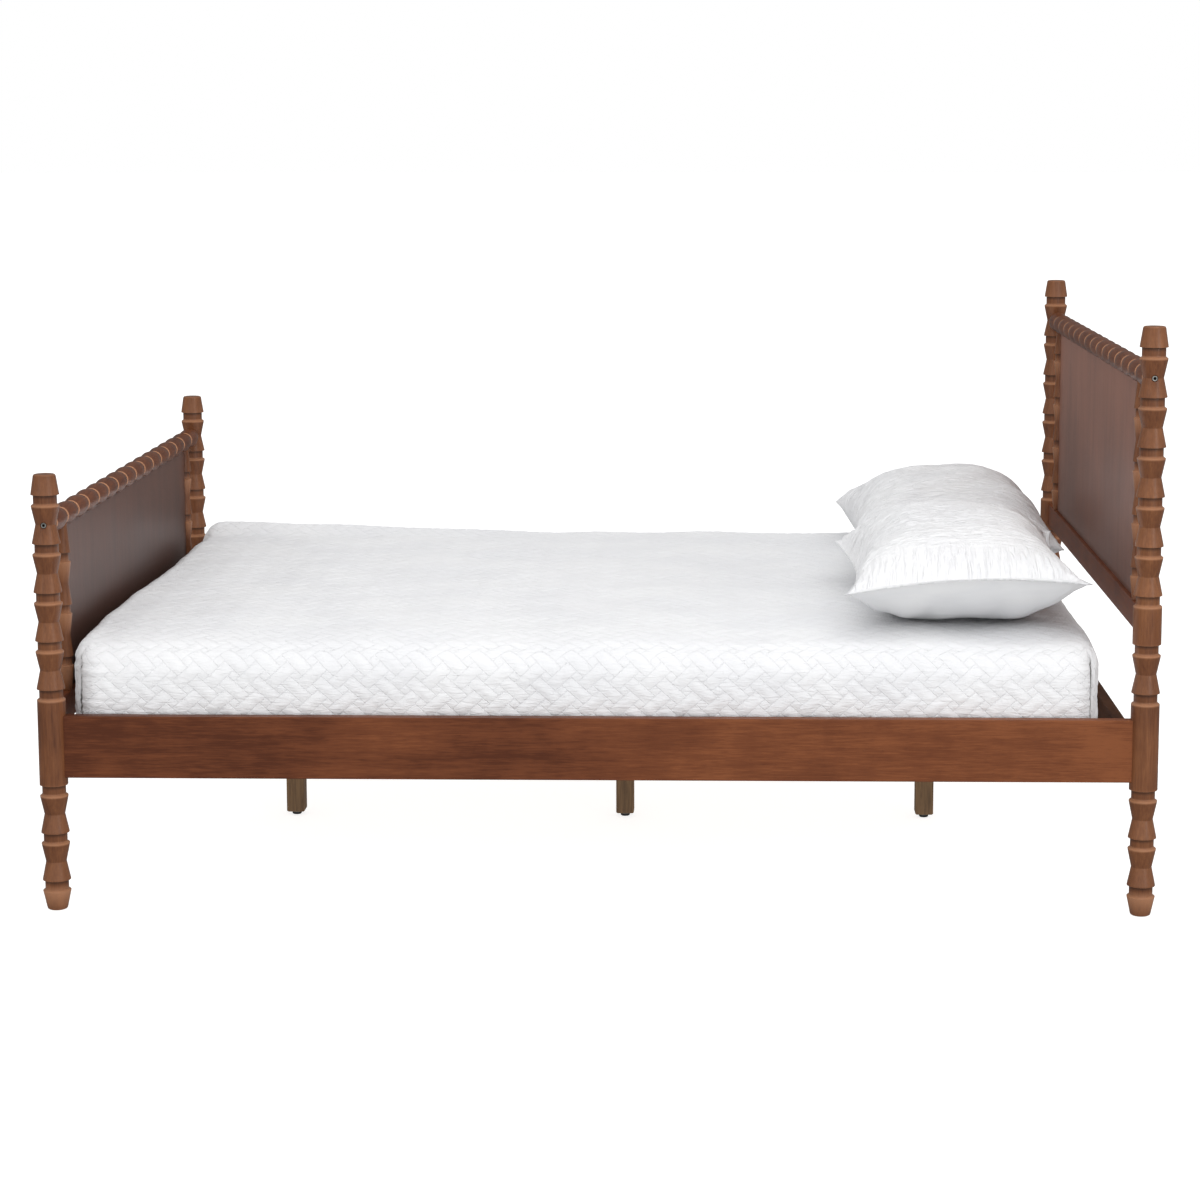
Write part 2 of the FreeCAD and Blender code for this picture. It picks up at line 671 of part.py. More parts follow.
def make_bracket(end):
    """Folded steel hanger: floor, two cheeks and two ears on the cross rail."""
    face = HALF_LENGTH - BOARD_THICKNESS / 2
    back = face - BRACKET_METAL
    front = back - BRACKET_REACH
    inner = BEAM_WIDTH / 2 + FIT
    outer = inner + BRACKET_METAL
    floor = SLAT_BOTTOM - BEAM_HEIGHT
    cheek_top = floor + BRACKET_SIDE_HEIGHT
    pieces = [box(front, face, -outer, outer, floor - BRACKET_METAL, floor)]
    for side in (-1, 1):
        low, high = sorted((side * inner, side * outer))
        pieces.append(box(front, face, low, high, floor, cheek_top))
        low, high = sorted((side * inner, side * (outer + BRACKET_EAR)))
        ear_bottom = CROSS_RAIL_BOTTOM + BRACKET_EAR_FOOT_GAP
        pieces.append(box(back, face, low, high, ear_bottom, cheek_top + BRACKET_EAR_RISE))
    bracket = pieces[0].fuse(pieces[1:]).removeSplitter()
    if ENDS[end] < 0:
        bracket = bracket.mirror(vec(0, 0, 0), vec(1, 0, 0))
    return bracket.cut(bracket_screws(end))


def make_cross_rail(end):
    rail = board_between_posts(end, CROSS_RAIL_BOTTOM, BOARD_EDGE)
    return rail.cut(bracket_screws(end))


# ================================================================ centre legs, sockets and glides
def make_leg(x):
    half = LEG_WIDTH / 2
    leg = box(x - half, x + half, -half, half, LEG_BOTTOM, SLAT_BOTTOM - BEAM_HEIGHT)
    low_edges = [edge for edge in leg.Edges if edge.BoundBox.ZMax < LEG_BOTTOM + 1e-6]
    leg = leg.makeChamfer(LEG_CHAMFER, low_edges)
    cutters = leg_studs(LEG_STUD_RADIUS + FIT, FIT)
    bore_top = LEG_BOTTOM + SOCKET_BODY_LENGTH + FIT
    cutters.append(rod(SOCKET_BODY_RADIUS + FIT, vec(x, 0, 0), vec(x, 0, bore_top)))
    stem_top = glide_stem_top() + SOCKET_FLANGE_HEIGHT
    cutters.append(rod(GLIDE_STEM_RADIUS + GLIDE_STEM_CLEARANCE, vec(x, 0, 0), vec(x, 0, stem_top)))
    return leg.cut(cutters)


def glide_pad_top():
    return LEG_BOTTOM - SOCKET_FLANGE_HEIGHT - GLIDE_SOCKET_GAP


def glide_stem_top():
    return glide_pad_top() + GLIDE_STEM_LENGTH


def make_socket(x):
    """Flanged insert in the leg's end grain, bored for the glide's stem."""
    flange = SOCKET_FLANGE_RADIUS
    low = LEG_BOTTOM - SOCKET_FLANGE_HEIGHT
    bore = GLIDE_STEM_RADIUS + GLIDE_STEM_CLEARANCE
    outline = [
        (bore, low),
        (flange - SOCKET_FLANGE_TAPER, low),
        (flange, LEG_BOTTOM),
        (SOCKET_BODY_RADIUS, LEG_BOTTOM),
        (SOCKET_BODY_RADIUS, LEG_BOTTOM + SOCKET_BODY_LENGTH),
        (bore, LEG_BOTTOM + SOCKET_BODY_LENGTH),
    ]
    socket = revolve_outline(outline)
    socket.translate(vec(x, 0, 0))
    return socket


def make_glide(x):
    """Round levelling glide with a rounded pad and a stem up into the socket."""
    top = glide_pad_top()
    outline = [
        (0, 0),
        (GLIDE_RADIUS - GLIDE_EDGE, 0),
        (GLIDE_RADIUS, GLIDE_EDGE),
        (GLIDE_RADIUS, top),
        (GLIDE_STEM_RADIUS, top),
        (GLIDE_STEM_RADIUS, glide_stem_top()),
        (0, glide_stem_top()),
    ]
    glide = revolve_outline(outline)
    glide.translate(vec(x, 0, 0))
    return glide


# ================================================================ mattress
def mattress_body(shrink):
    """Crowned mattress block with soft edges; shrink insets its top and sides."""
    half_width = MATTRESS_WIDTH / 2 - shrink
    half_length = MATTRESS_LENGTH / 2 - shrink
    bottom = MATTRESS_BOTTOM
    shoulder = MATTRESS_TOP - MATTRESS_CROWN - shrink
    crown = MATTRESS_TOP - shrink
    left = vec(-half_length, half_width, shoulder)
    right = vec(-half_length, -half_width, shoulder)
    left_foot = vec(-half_length, half_width, bottom)
    right_foot = vec(-half_length, -half_width, bottom)
    outline = [
        Part.LineSegment(right_foot, left_foot).toShape(),
        Part.LineSegment(left_foot, left).toShape(),
        Part.Arc(left, vec(-half_length, 0, crown), right).toShape(),
        Part.LineSegment(right, right_foot).toShape(),
    ]
    block = Part.Face(Part.Wire(outline)).extrude(vec(2 * half_length, 0, 0))
    corners = [e for e in block.Edges if e.BoundBox.XLength < 1e-6 and e.BoundBox.YLength < 1e-6]
    block = block.makeFillet(MATTRESS_CORNER - shrink, corners)
    rim = [e for e in block.Edges if e.BoundBox.ZMin > shoulder - 1.0]
    block = block.makeFillet(MATTRESS_SOFT_EDGE - shrink, rim)
    block.translate(vec(MATTRESS_SHIFT, 0, 0))
    return block


def make_mattress():
    core = mattress_body(COVER_THICKNESS)
    outer = mattress_body(0)
    hem = COVER_HEM
    opening = box(
        MATTRESS_SHIFT - MATTRESS_LENGTH / 2 + hem,
        MATTRESS_SHIFT + MATTRESS_LENGTH / 2 - hem,
        -MATTRESS_WIDTH / 2 + hem,
        MATTRESS_WIDTH / 2 - hem,
        0,
        MATTRESS_BOTTOM + COVER_HEM_THICKNESS,
    )
    hem_top = MATTRESS_BOTTOM + COVER_HEM_THICKNESS
    core = core.cut(box(-HALF_LENGTH, HALF_LENGTH, -HALF_WIDTH, HALF_WIDTH, 0, hem_top))
    cover = outer.cut([core, opening])
    return core, cover


# ================================================================ pillows
def mattress_height(y):
    """Height of the mattress's crowned top at a place across the bed."""
    half_width = MATTRESS_WIDTH / 2
    radius = (half_width**2 + MATTRESS_CROWN**2) / (2 * MATTRESS_CROWN)
    return MATTRESS_TOP - radius + math.sqrt(radius**2 - y**2)


def pillow_section(y, half_width, top, bottom_half, seam, floor):
    """Closed outline of a pillow across its width: crowned top, belly, flat where it rests."""
    edge = PILLOW_EDGE / 2
    left_high = vec(-half_width, y, seam + edge)
    right_high = vec(half_width, y, seam + edge)
    left_low = vec(-half_width, y, seam - edge)
    right_low = vec(half_width, y, seam - edge)
    rest_left = vec(-bottom_half, y, floor)
    rest_right = vec(bottom_half, y, floor)
    belly = 0.62
    left_belly = vec(-half_width + (half_width - bottom_half) * belly, y, seam - (seam - floor) * 0.86)
    right_belly = vec(-left_belly.x, y, left_belly.z)
    return Part.Wire([
        Part.Arc(left_high, vec(0, y, top), right_high).toShape(),
        Part.LineSegment(right_high, right_low).toShape(),
        Part.Arc(right_low, right_belly, rest_right).toShape(),
        Part.LineSegment(rest_right, rest_left).toShape(),
        Part.Arc(rest_left, left_belly, left_low).toShape(),
        Part.LineSegment(left_low, left_high).toShape(),
    ])


def make_pillow(side):
    """Sham-covered pillow: high crown, corners left wide, sides drawn in between them."""
    centre = SIDES[side] * (PILLOW_LENGTH / 2 + PILLOW_GAP / 2)
    seam = MATTRESS_TOP + PILLOW_SEAM_HEIGHT
    sections = []
    steps = 8
    for index in range(steps + 1):
        across = -1 + 2 * index / steps
        y = across * PILLOW_LENGTH / 2
        swell = max(0.0, 1 - abs(across) ** 3.2)
        full = swell ** 0.62
        half_width = PILLOW_WIDTH / 2 - PILLOW_WAIST * full
        top = seam + PILLOW_EDGE + (PILLOW_HEIGHT - PILLOW_SEAM_HEIGHT - PILLOW_EDGE) * full
        rest_height = mattress_height(centre + y) + SOFT_GAP
        floor = rest_height + (seam - PILLOW_EDGE - rest_height) * (1 - full)
        end_rest = PILLOW_WIDTH / 2 - PILLOW_CORNER_WIDTH
        rest = PILLOW_REST_HALF_WIDTH + (end_rest - PILLOW_REST_HALF_WIDTH) * (1 - full)
        sections.append(pillow_section(y, half_width, top, rest, seam, floor))
    pillow = Part.makeLoft(sections, True, True)
    head_end = MATTRESS_SHIFT + MATTRESS_LENGTH / 2
    pillow.translate(vec(head_end - PILLOW_FROM_HEAD[side], centre, 0))
    return pillow


# ================================================================ everything
def main():
    os.makedirs("parts", exist_ok=True)
    board_names = {"head": "headboard", "foot": "footboard"}
    top_bolts, top_nuts, side_bolts, side_nuts, pins, bracket_screw_set = [], [], [], [], [], []
    for end, board in board_names.items():
        for side in SIDES:
            write(board + "_post_" + side, make_post(end, side))
            write(board + "_spindle_" + side, make_spindle(end, side))
            top_bolts.append(make_top_bolt(end, side))
            top_nuts.append(make_top_nut(end, side))
            pins += dowels(end, side, DOWEL_RADIUS, 0)
            for height in side_bolt_heights():
                head = side_bolt_head_face(end, side, height)
                inward = vec(-ENDS[end], 0, 0)
                length = RIM_RADIUS * 2 + SIDE_BOLT_INTO_RAIL - SIDE_BOLT_HEAD_SINK
                side_bolts.append(
                    socket_bolt(
                        head,
                        inward,
                        length,
                        SIDE_BOLT_RADIUS,
                        SIDE_BOLT_HEAD_RADIUS,
                        SIDE_BOLT_HEAD_HEIGHT,
                        False,
                    )
                )
                nut_half = SIDE_NUT_LENGTH / 2
                nut = side_nut(end, side, height, SIDE_NUT_RADIUS, nut_half, nut_half)
                side_nuts.append(nut.cut(rod(SIDE_BOLT_RADIUS + FIT, head, head.add(inward * HALF_LENGTH))))
        write(board + "_top_rail", make_top_rail(end))
        write(board + "_panel", make_panel(end))
        write(board + "_lower_board", make_lower_board(end))
        write(board + "_cross_rail", make_cross_rail(end))
        write("beam_bracket_" + end, make_bracket(end))
        bracket_screw_set += bracket_screws(end)
    cleat_screw_set = []
    for side in SIDES:
        write("side_rail_" + side, make_side_rail(side).cut(make_cleat_screws(side)))
        write("slat_cleat_" + side, make_cleat(side).cut(all_slat_screws()))
        cleat_screw_set += make_cleat_screws(side)
    for index, x in enumerate(slat_places()):
        write("slat_%02d" % (index + 1), make_slat(x))
    write("centre_beam", make_beam())
    sockets = []
    for name, x in LEG_POSITIONS.items():
        write("centre_leg_" + name, make_leg(x))
        write("glide_" + name, make_glide(x))
        sockets.append(make_socket(x))
    write("glide_sockets", group(sockets))
    write("top_rail_bolts", group(top_bolts))
    write("top_rail_barrel_nuts", group(top_nuts))
    write("side_rail_bolts", group(side_bolts))
    write("side_rail_barrel_nuts", group(side_nuts))
    write("board_dowels", group(pins))
    write("slat_screws", group(all_slat_screws()))
    write("cleat_screws", group(cleat_screw_set))
    write("beam_bracket_screws", group(bracket_screw_set))
    write("leg_hanger_bolts", group(leg_studs(LEG_STUD_RADIUS, 0)))
    core, cover = make_mattress()
    write("mattress_core", core)
    write("mattress_cover", cover)
    for side in SIDES:
        write("pillow_" + side, make_pillow(side))


def all_slat_screws():
    screws = []
    for x in slat_places():
        screws += slat_screws(x)
    return screws


main()
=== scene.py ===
import math
import random

import bmesh
import bpy
import numpy as np
from mathutils import Matrix, Vector


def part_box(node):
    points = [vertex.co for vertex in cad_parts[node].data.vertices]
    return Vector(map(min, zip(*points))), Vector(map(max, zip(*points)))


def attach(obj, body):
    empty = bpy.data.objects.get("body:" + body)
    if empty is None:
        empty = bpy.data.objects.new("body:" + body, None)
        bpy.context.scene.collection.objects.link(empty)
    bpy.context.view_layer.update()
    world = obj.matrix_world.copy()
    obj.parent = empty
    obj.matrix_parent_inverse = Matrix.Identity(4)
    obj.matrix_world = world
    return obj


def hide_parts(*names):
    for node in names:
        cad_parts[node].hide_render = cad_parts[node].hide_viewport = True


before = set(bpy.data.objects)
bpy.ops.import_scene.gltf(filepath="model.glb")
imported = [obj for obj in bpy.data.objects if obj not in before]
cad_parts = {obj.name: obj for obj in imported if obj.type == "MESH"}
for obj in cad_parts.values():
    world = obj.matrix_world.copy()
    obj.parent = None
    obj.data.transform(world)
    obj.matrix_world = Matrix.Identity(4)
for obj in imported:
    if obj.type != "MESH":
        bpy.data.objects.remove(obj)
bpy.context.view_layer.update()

MM = 0.001
FRAME_BODY = "frame"
MATTRESS_BODY = "mattress_body"


def linked(name, data):
    """A new object that holds the data, in the scene."""
    made = bpy.data.objects.new(name, data)
    bpy.context.scene.collection.objects.link(made)
    return made


def poured(shape, name):
    """A new mesh from a bmesh, which is freed."""
    mesh = bpy.data.meshes.new(name)
    shape.to_mesh(mesh)
    shape.free()
    return mesh


# ---- camera, fitted to the photograph
IMAGE_SIZE = 1200.0
FOCAL_PIXELS = 2834.0
AXIS_PIXEL = (640.8, 537.2)
CAMERA_PLACE = (0.2322, -6.2761, 1.5591)
CAMERA_YAW = -0.0260
CAMERA_PITCH = 0.1457
CAMERA_ROLL = -0.0013
SENSOR = 36.0


def make_camera():
    data = bpy.data.cameras.new("camera")
    data.sensor_width = SENSOR
    data.lens = FOCAL_PIXELS / IMAGE_SIZE * SENSOR
    data.shift_x = (IMAGE_SIZE / 2 - AXIS_PIXEL[0]) / IMAGE_SIZE
    data.shift_y = (AXIS_PIXEL[1] - IMAGE_SIZE / 2) / IMAGE_SIZE
    camera = linked("camera", data)
    ahead = Vector((
        math.sin(CAMERA_YAW) * math.cos(CAMERA_PITCH),
        math.cos(CAMERA_YAW) * math.cos(CAMERA_PITCH),
        -math.sin(CAMERA_PITCH),
    ))
    level = Vector((math.cos(CAMERA_YAW), -math.sin(CAMERA_YAW), 0.0))
    upright = level.cross(ahead)
    right = level * math.cos(CAMERA_ROLL) + upright * math.sin(CAMERA_ROLL)
    up = upright * math.cos(CAMERA_ROLL) - level * math.sin(CAMERA_ROLL)
    turn = Matrix((right, up, -ahead)).transposed().to_4x4()
    camera.matrix_world = Matrix.Translation(CAMERA_PLACE) @ turn
    bpy.context.scene.camera = camera


# ---- shader maths as expressions
def operator(operation, swapped=False):
    """A method that makes one maths node, of the value and what it is combined with."""
    def method(self, *others):
        values = (self, *others)
        return self.graph.maths(operation, *(values[::-1] if swapped else values))
    return method


class Value:
    """One output of a shader node, for use in expressions."""

    def __init__(self, graph, socket):
        self.graph = graph
        self.socket = socket

    __add__ = __radd__ = operator("ADD")
    __sub__ = operator("SUBTRACT")
    __rsub__ = operator("SUBTRACT", swapped=True)
    __mul__ = __rmul__ = operator("MULTIPLY")
    __truediv__ = operator("DIVIDE")
    __mod__ = operator("FLOORED_MODULO")
    __pow__ = operator("POWER")
    __gt__ = operator("GREATER_THAN")
    least = operator("MINIMUM")
    most = operator("MAXIMUM")
    floor = operator("FLOOR")
    size = operator("ABSOLUTE")

    def rise(self, low, high):
        """0 below low, 1 above high, smooth between them; with low above high it falls."""
        kind = {"interpolation_type": "SMOOTHSTEP"}
        if low < high:
            return self.graph.node("ShaderNodeMapRange", kind, {0: self, 1: low, 2: high})
        return 1 - self.graph.node("ShaderNodeMapRange", kind, {0: self, 1: high, 2: low})


class Graph:
    """A node tree that is built by expressions."""

    def __init__(self, tree):
        self.tree = tree

    def feed(self, socket, value):
        if isinstance(value, Value):
            self.tree.links.new(value.socket, socket)
        elif isinstance(value, tuple) and len(value) == 3 and socket.type == "RGBA":
            socket.default_value = (*value, 1.0)
        else:
            socket.default_value = value

    def node(self, kind, settings=None, sockets=None, output=0):
        made = self.tree.nodes.new(kind)
        for setting, value in (settings or {}).items():
            setattr(made, setting, value)
        for socket, value in (sockets or {}).items():
            self.feed(made.inputs[socket], value)
        return Value(self, made.outputs[output])

    def maths(self, operation, *values):
        return self.node("ShaderNodeMath", {"operation": operation}, dict(enumerate(values)))


class Finish(Graph):
    """A material with one Principled shader."""

    def __init__(self, name, roughness, specular=0.5):
        self.material = bpy.data.materials.new(name)
        self.material.use_nodes = True
        super().__init__(self.material.node_tree)
        self.tree.nodes.clear()
        self.shader = self.tree.nodes.new("ShaderNodeBsdfPrincipled")
        output = self.tree.nodes.new("ShaderNodeOutputMaterial")
        self.tree.links.new(self.shader.outputs[0], output.inputs[0])
        self.shader.inputs["Roughness"].default_value = roughness
        self.shader.inputs["Specular IOR Level"].default_value = specular

    def place(self, scale=(1.0, 1.0, 1.0)):
        """Object coordinates, scaled."""
        spot = self.node("ShaderNodeTexCoord", output="Object")
        return self.node("ShaderNodeMapping", None, {"Vector": spot, "Scale": scale})

    def axis(self, name):
        spot = self.node("ShaderNodeTexCoord", output="Object")
        return self.node("ShaderNodeSeparateXYZ", None, {0: spot}, name)

    def cloth(self, name):
        """One coordinate of the piece's own flat fabric map, in metres."""
        spot = self.node("ShaderNodeUVMap", {"uv_map": "fabric"})
        return self.node("ShaderNodeSeparateXYZ", None, {0: spot}, name)

    def stretched(self, scale):
        """The piece's flat fabric map, scaled."""
        spot = self.node("ShaderNodeUVMap", {"uv_map": "fabric"})
        return self.node("ShaderNodeMapping", None, {"Vector": spot, "Scale": scale})

    def painted(self, name):
        """A value painted on the piece's points."""
        return self.node("ShaderNodeAttribute", {"attribute_name": name}, output="Fac")

    def noise(self, vector, scale=1.0, detail=3.0, roughness=0.5, distortion=0.0):
        sockets = {"Vector": vector, "Scale": scale, "Detail": detail}
        sockets.update({"Roughness": roughness, "Distortion": distortion})
        return self.node("ShaderNodeTexNoise", None, sockets)

    def mix(self, factor, first, second):
        sockets = {0: factor, 6: first, 7: second}
        return self.node("ShaderNodeMix", {"data_type": "RGBA"}, sockets, 2)

    def bump(self, height, distance, strength=1.0, under=None):
        sockets = {"Strength": strength, "Distance": distance, "Height": height}
        if under is not None:
            sockets["Normal"] = under
        return self.node("ShaderNodeBump", None, sockets)

    def set(self, **values):
        """Feeds the shader's sockets, and gives the material."""
        for name, value in values.items():
            self.feed(self.shader.inputs[name.replace("_", " ")], value)
        return self.material


# ---- finishes
WOOD_LIGHT = (0.225, 0.088, 0.034)
WOOD_MIDDLE = (0.155, 0.056, 0.022)
WOOD_DARK = (0.088, 0.029, 0.012)
WOOD_WEAR_AND_HIGHLIGHT = (0.480, 0.230, 0.120)
PAINTED_SHADE_DARKNESS = 0.3
PAINTED_LIGHT_TOWARDS_HEAD = 0.12
VENEER = ((0.086, 0.039, 0.028), (0.163, 0.073, 0.050))
LEG_STOCK = ((0.105, 0.056, 0.023), (0.200, 0.112, 0.047))
BEAM_STOCK = ((0.10, 0.055, 0.028), (0.20, 0.115, 0.060))
SLAT_STOCK = ((0.50, 0.34, 0.19), (0.68, 0.50, 0.31))
STEEL = ((0.34, 0.33, 0.31), (0.56, 0.55, 0.52))
SOCKET_PAINTED_SHADOW = (0.012, 0.011, 0.010)
NYLON = ((0.012, 0.012, 0.012), (0.028, 0.027, 0.026))
COVER_COTTON = ((0.800, 0.804, 0.822), (0.835, 0.838, 0.850))
SHAM_COTTON = ((0.820, 0.822, 0.838), (0.860, 0.861, 0.872))
BACK_COTTON = ((0.735, 0.742, 0.755), (0.775, 0.779, 0.784))
STITCH_GROOVE_PAINTED_SHADE = (0.64, 0.65, 0.68)
HOLLOW_PAINTED_SHADE = (0.66, 0.67, 0.69)
SEAM_GROOVE_PAINTED_SHADOW = (0.11, 0.105, 0.10)
BOLT_AXES = {"length": 1.080, "foot": 0.77725, "head": 1.06825}
SOCKET_RADIUS = 0.0030
SOCKET_EDGE = 0.0003
GRAIN_STRETCH = {"X": (1.0, 16.0, 16.0), "Y": (16.0, 1.0, 16.0), "Z": (16.0, 16.0, 1.0)}


def toned(colour, tone):
    """A colour times one number, or part by part."""
    return tuple(float(part) for part in np.multiply(colour, tone))


def stained_wood(name, grain, tone, roughness, specular, wear_and_painted_light=False):
    """Walnut-stained hardwood: long grain, short pores, uneven uptake of the stain; where asked,
    painted light and shade with wear.
    """
    finish = Finish(name, roughness, specular)
    along = GRAIN_STRETCH[grain]
    fibre = finish.noise(finish.place(along), 22.0, 5.0, 0.65, 0.3)
    bands = finish.noise(finish.place(along), 3.2, 3.0, 0.55, 1.2)
    blotch = finish.noise(finish.place(), 7.0, 3.0, 0.6)
    pores = finish.noise(finish.place(toned(along, 0.9)), 70.0, 2.0, 0.6)
    pore = pores.rise(0.60, 0.70)
    lightness = fibre * 0.46 + bands * 0.30 + blotch * 0.42
    # painted light: the long rails are lighter towards the head, where more light falls
    if grain == "X":
        lightness = lightness + finish.axis("X") * PAINTED_LIGHT_TOWARDS_HEAD
    low = toned(WOOD_DARK, tone)
    colour = finish.mix(lightness.rise(0.40, 0.62), low, toned(WOOD_MIDDLE, tone))
    colour = finish.mix(lightness.rise(0.58, 0.80), colour, toned(WOOD_LIGHT, tone))
    colour = finish.mix(pore * 0.35, colour, low)
    if wear_and_painted_light:
        # paler where the points are painted with wear and highlight, darker where painted with
        # shade
        wear_and_light_level = finish.painted("wear_and_painted_light")
        colour = finish.mix((wear_and_light_level * 0.8).most(0.0), colour, WOOD_WEAR_AND_HIGHLIGHT)
        colour = finish.mix((wear_and_light_level * -0.8).most(0.0), colour, toned(low, PAINTED_SHADE_DARKNESS))
    height = fibre * 0.5 + bands * 0.3 - pore * 0.6
    normal = finish.bump(height, 0.00035, 0.8)
    return finish.set(Base_Color=colour, Normal=normal, Roughness=roughness - 0.06 + fibre * 0.16)


def veneer(name, tone, middle, fade):
    """Flat stained veneer of the panels, cloudy, with painted shade that darkens it below the
    middle, and a satin lacquer.
    """
    finish = Finish(name, 0.42, 0.36)
    figure = finish.noise(finish.place((1.0, 7.0, 0.8)), 5.0, 4.0, 0.6, 0.8)
    fibre = finish.noise(finish.place((1.0, 60.0, 5.0)), 9.0, 4.0, 0.6)
    cloud = finish.noise(finish.place(), 3.2, 3.0, 0.6)
    lightness = figure * 0.40 + fibre * 0.30 + cloud * 0.40
    # painted shade: paler above the middle and darker below it, by fade per metre
    lightness = lightness + (finish.axis("Z") - middle) * fade
    low, high = VENEER
    colour = finish.mix(lightness.rise(0.30, 0.82), toned(low, tone), toned(high, tone))
    normal = finish.bump(fibre * 0.6 + figure * 0.4, 0.00025, 0.7)
    return finish.set(Base_Color=colour, Normal=normal, Roughness=0.36 + cloud * 0.12)


def plain_timber(name, stock, grain):
    """Unlacquered timber of the hidden parts, from the dark to the light colour of its stock."""
    finish = Finish(name, 0.6)
    along = GRAIN_STRETCH[grain]
    fibre = finish.noise(finish.place(along), 14.0, 4.0, 0.6, 0.4)
    cloud = finish.noise(finish.place(), 5.0, 2.0, 0.5)
    colour = finish.mix((fibre * 0.6 + cloud * 0.4).rise(0.36, 0.64), *stock)
    normal = finish.bump(fibre, 0.0003, 0.6)
    return finish.set(Base_Color=colour, Normal=normal, Roughness=0.55 + fibre * 0.12)


def plated_steel(name, sockets=False):
    """Zinc-plated steel; with sockets, a painted shadow fills the hexagon sockets of the top
    bolts.
    """
    finish = Finish(name, 0.30)
    haze = finish.noise(finish.place(), 160.0, 3.0, 0.6)
    colour = finish.mix(haze.rise(0.35, 0.65), *STEEL)
    if sockets:
        x, z = finish.axis("X"), finish.axis("Z")
        head = x > 0.0
        off_x = x.size() - BOLT_AXES["length"]
        off_z = z - (BOLT_AXES["foot"] + head * (BOLT_AXES["head"] - BOLT_AXES["foot"]))
        reach = (off_x * off_x + off_z * off_z) ** 0.5
        # painted shadow: a dark disc where each bolt's hexagon socket lies in shade
        painted_socket_shadow = reach.rise(SOCKET_RADIUS + SOCKET_EDGE, SOCKET_RADIUS - SOCKET_EDGE)
        colour = finish.mix(painted_socket_shadow, colour, SOCKET_PAINTED_SHADOW)
    finish.set(Base_Color=colour, Metallic=1.0, Roughness=0.22 + haze * 0.2)
    return finish.set(Normal=finish.bump(haze, 0.0001, 0.4))


def moulded_nylon(name):
    """Black nylon with a fine grain from its mould."""
    finish = Finish(name, 0.55)
    haze = finish.noise(finish.place(), 500.0, 3.0, 0.6)
    finish.set(Base_Color=finish.mix(haze, *NYLON))
    return finish.set(Roughness=0.45 + haze * 0.2, Normal=finish.bump(haze, 0.00015, 0.6))


QUILT_PITCH = 0.0438
QUILT_STEP = QUILT_PITCH * math.sqrt(2) / 10
STRIP_HALF = 0.3
STITCH_HALF_WIDTH = 0.0014


def cover_size():
    """Middle of the cover, its half length and half width, and its underside and top."""
    low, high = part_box("mattress_cover")
    core_low, core_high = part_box("mattress_core")
    half_x, half_y = (high.x - low.x) / 2, (high.y - low.y) / 2
    return (low + high) / 2, half_x, half_y, min(low.z, core_low.z), max(high.z, core_high.z)


def cover_cells():
    """Cells of the cover's cloth along the bed, across it and down its sides."""
    _, half_x, half_y, bottom, top = cover_size()
    return tuple(round(size / QUILT_STEP) for size in (2 * half_x, 2 * half_y, top - bottom))


def quilt_start():
    """Flat place of one crossing where the falling strip lies over the rising one."""
    along, across, _ = cover_cells()
    return (2 - along / 2) * QUILT_STEP, (5 - across / 2) * QUILT_STEP


def stitch_gap(x, y, floor, least, most):
    """Gap in pitches from a flat place to the nearest stitched line of the basket weave.

    The places are shader values or arrays, with the functions that suit them.
    """
    start = quilt_start()
    along, across = x - start[0], y - start[1]
    u = (along + across) / (QUILT_PITCH * math.sqrt(2))
    v = (along - across) / (QUILT_PITCH * math.sqrt(2))
    row_u, row_v = floor(u + 0.5), floor(v + 0.5)
    off_u, off_v = most(u - row_u, row_u - u), most(v - row_v, row_v - v)
    odd = (row_u + row_v) % 2.0
    falling = (1.0 - odd) * (1.0 - STRIP_HALF - off_v) + odd * (off_v - STRIP_HALF)
    rising = (1.0 - odd) * (off_u - STRIP_HALF) + odd * (1.0 - STRIP_HALF - off_u)
    gap = most(least(STRIP_HALF - off_u, falling), least(STRIP_HALF - off_v, rising))
    return most(gap, least(off_u - STRIP_HALF, off_v - STRIP_HALF))


def quilt_stitch(finish):
    """1 on the stitched lines of the quilting, 0 between them."""
    flat = finish.cloth("X"), finish.cloth("Y")
    gap = stitch_gap(*flat, Value.floor, Value.least, Value.most)
    return gap.rise(STITCH_HALF_WIDTH / QUILT_PITCH, 0.0)


def tinted(finish, low, high):
    """Cotton white that drifts slowly between two tints."""
    wide = finish.noise(finish.place(), 6.0, 2.0, 0.5)
    return finish.mix(wide.rise(0.3, 0.7), low, high)


def woven(finish, normal):
    """Adds the fine weave and sheen of the covers, and returns its normal over the one given."""
    weave = finish.noise(finish.stretched((1400.0, 1400.0, 1.0)), 1.0, 2.0, 0.5)
    finish.set(Roughness=0.80 + weave * 0.12, Sheen_Weight=0.12)
    return finish.bump(weave, 0.0003, 0.3, normal)


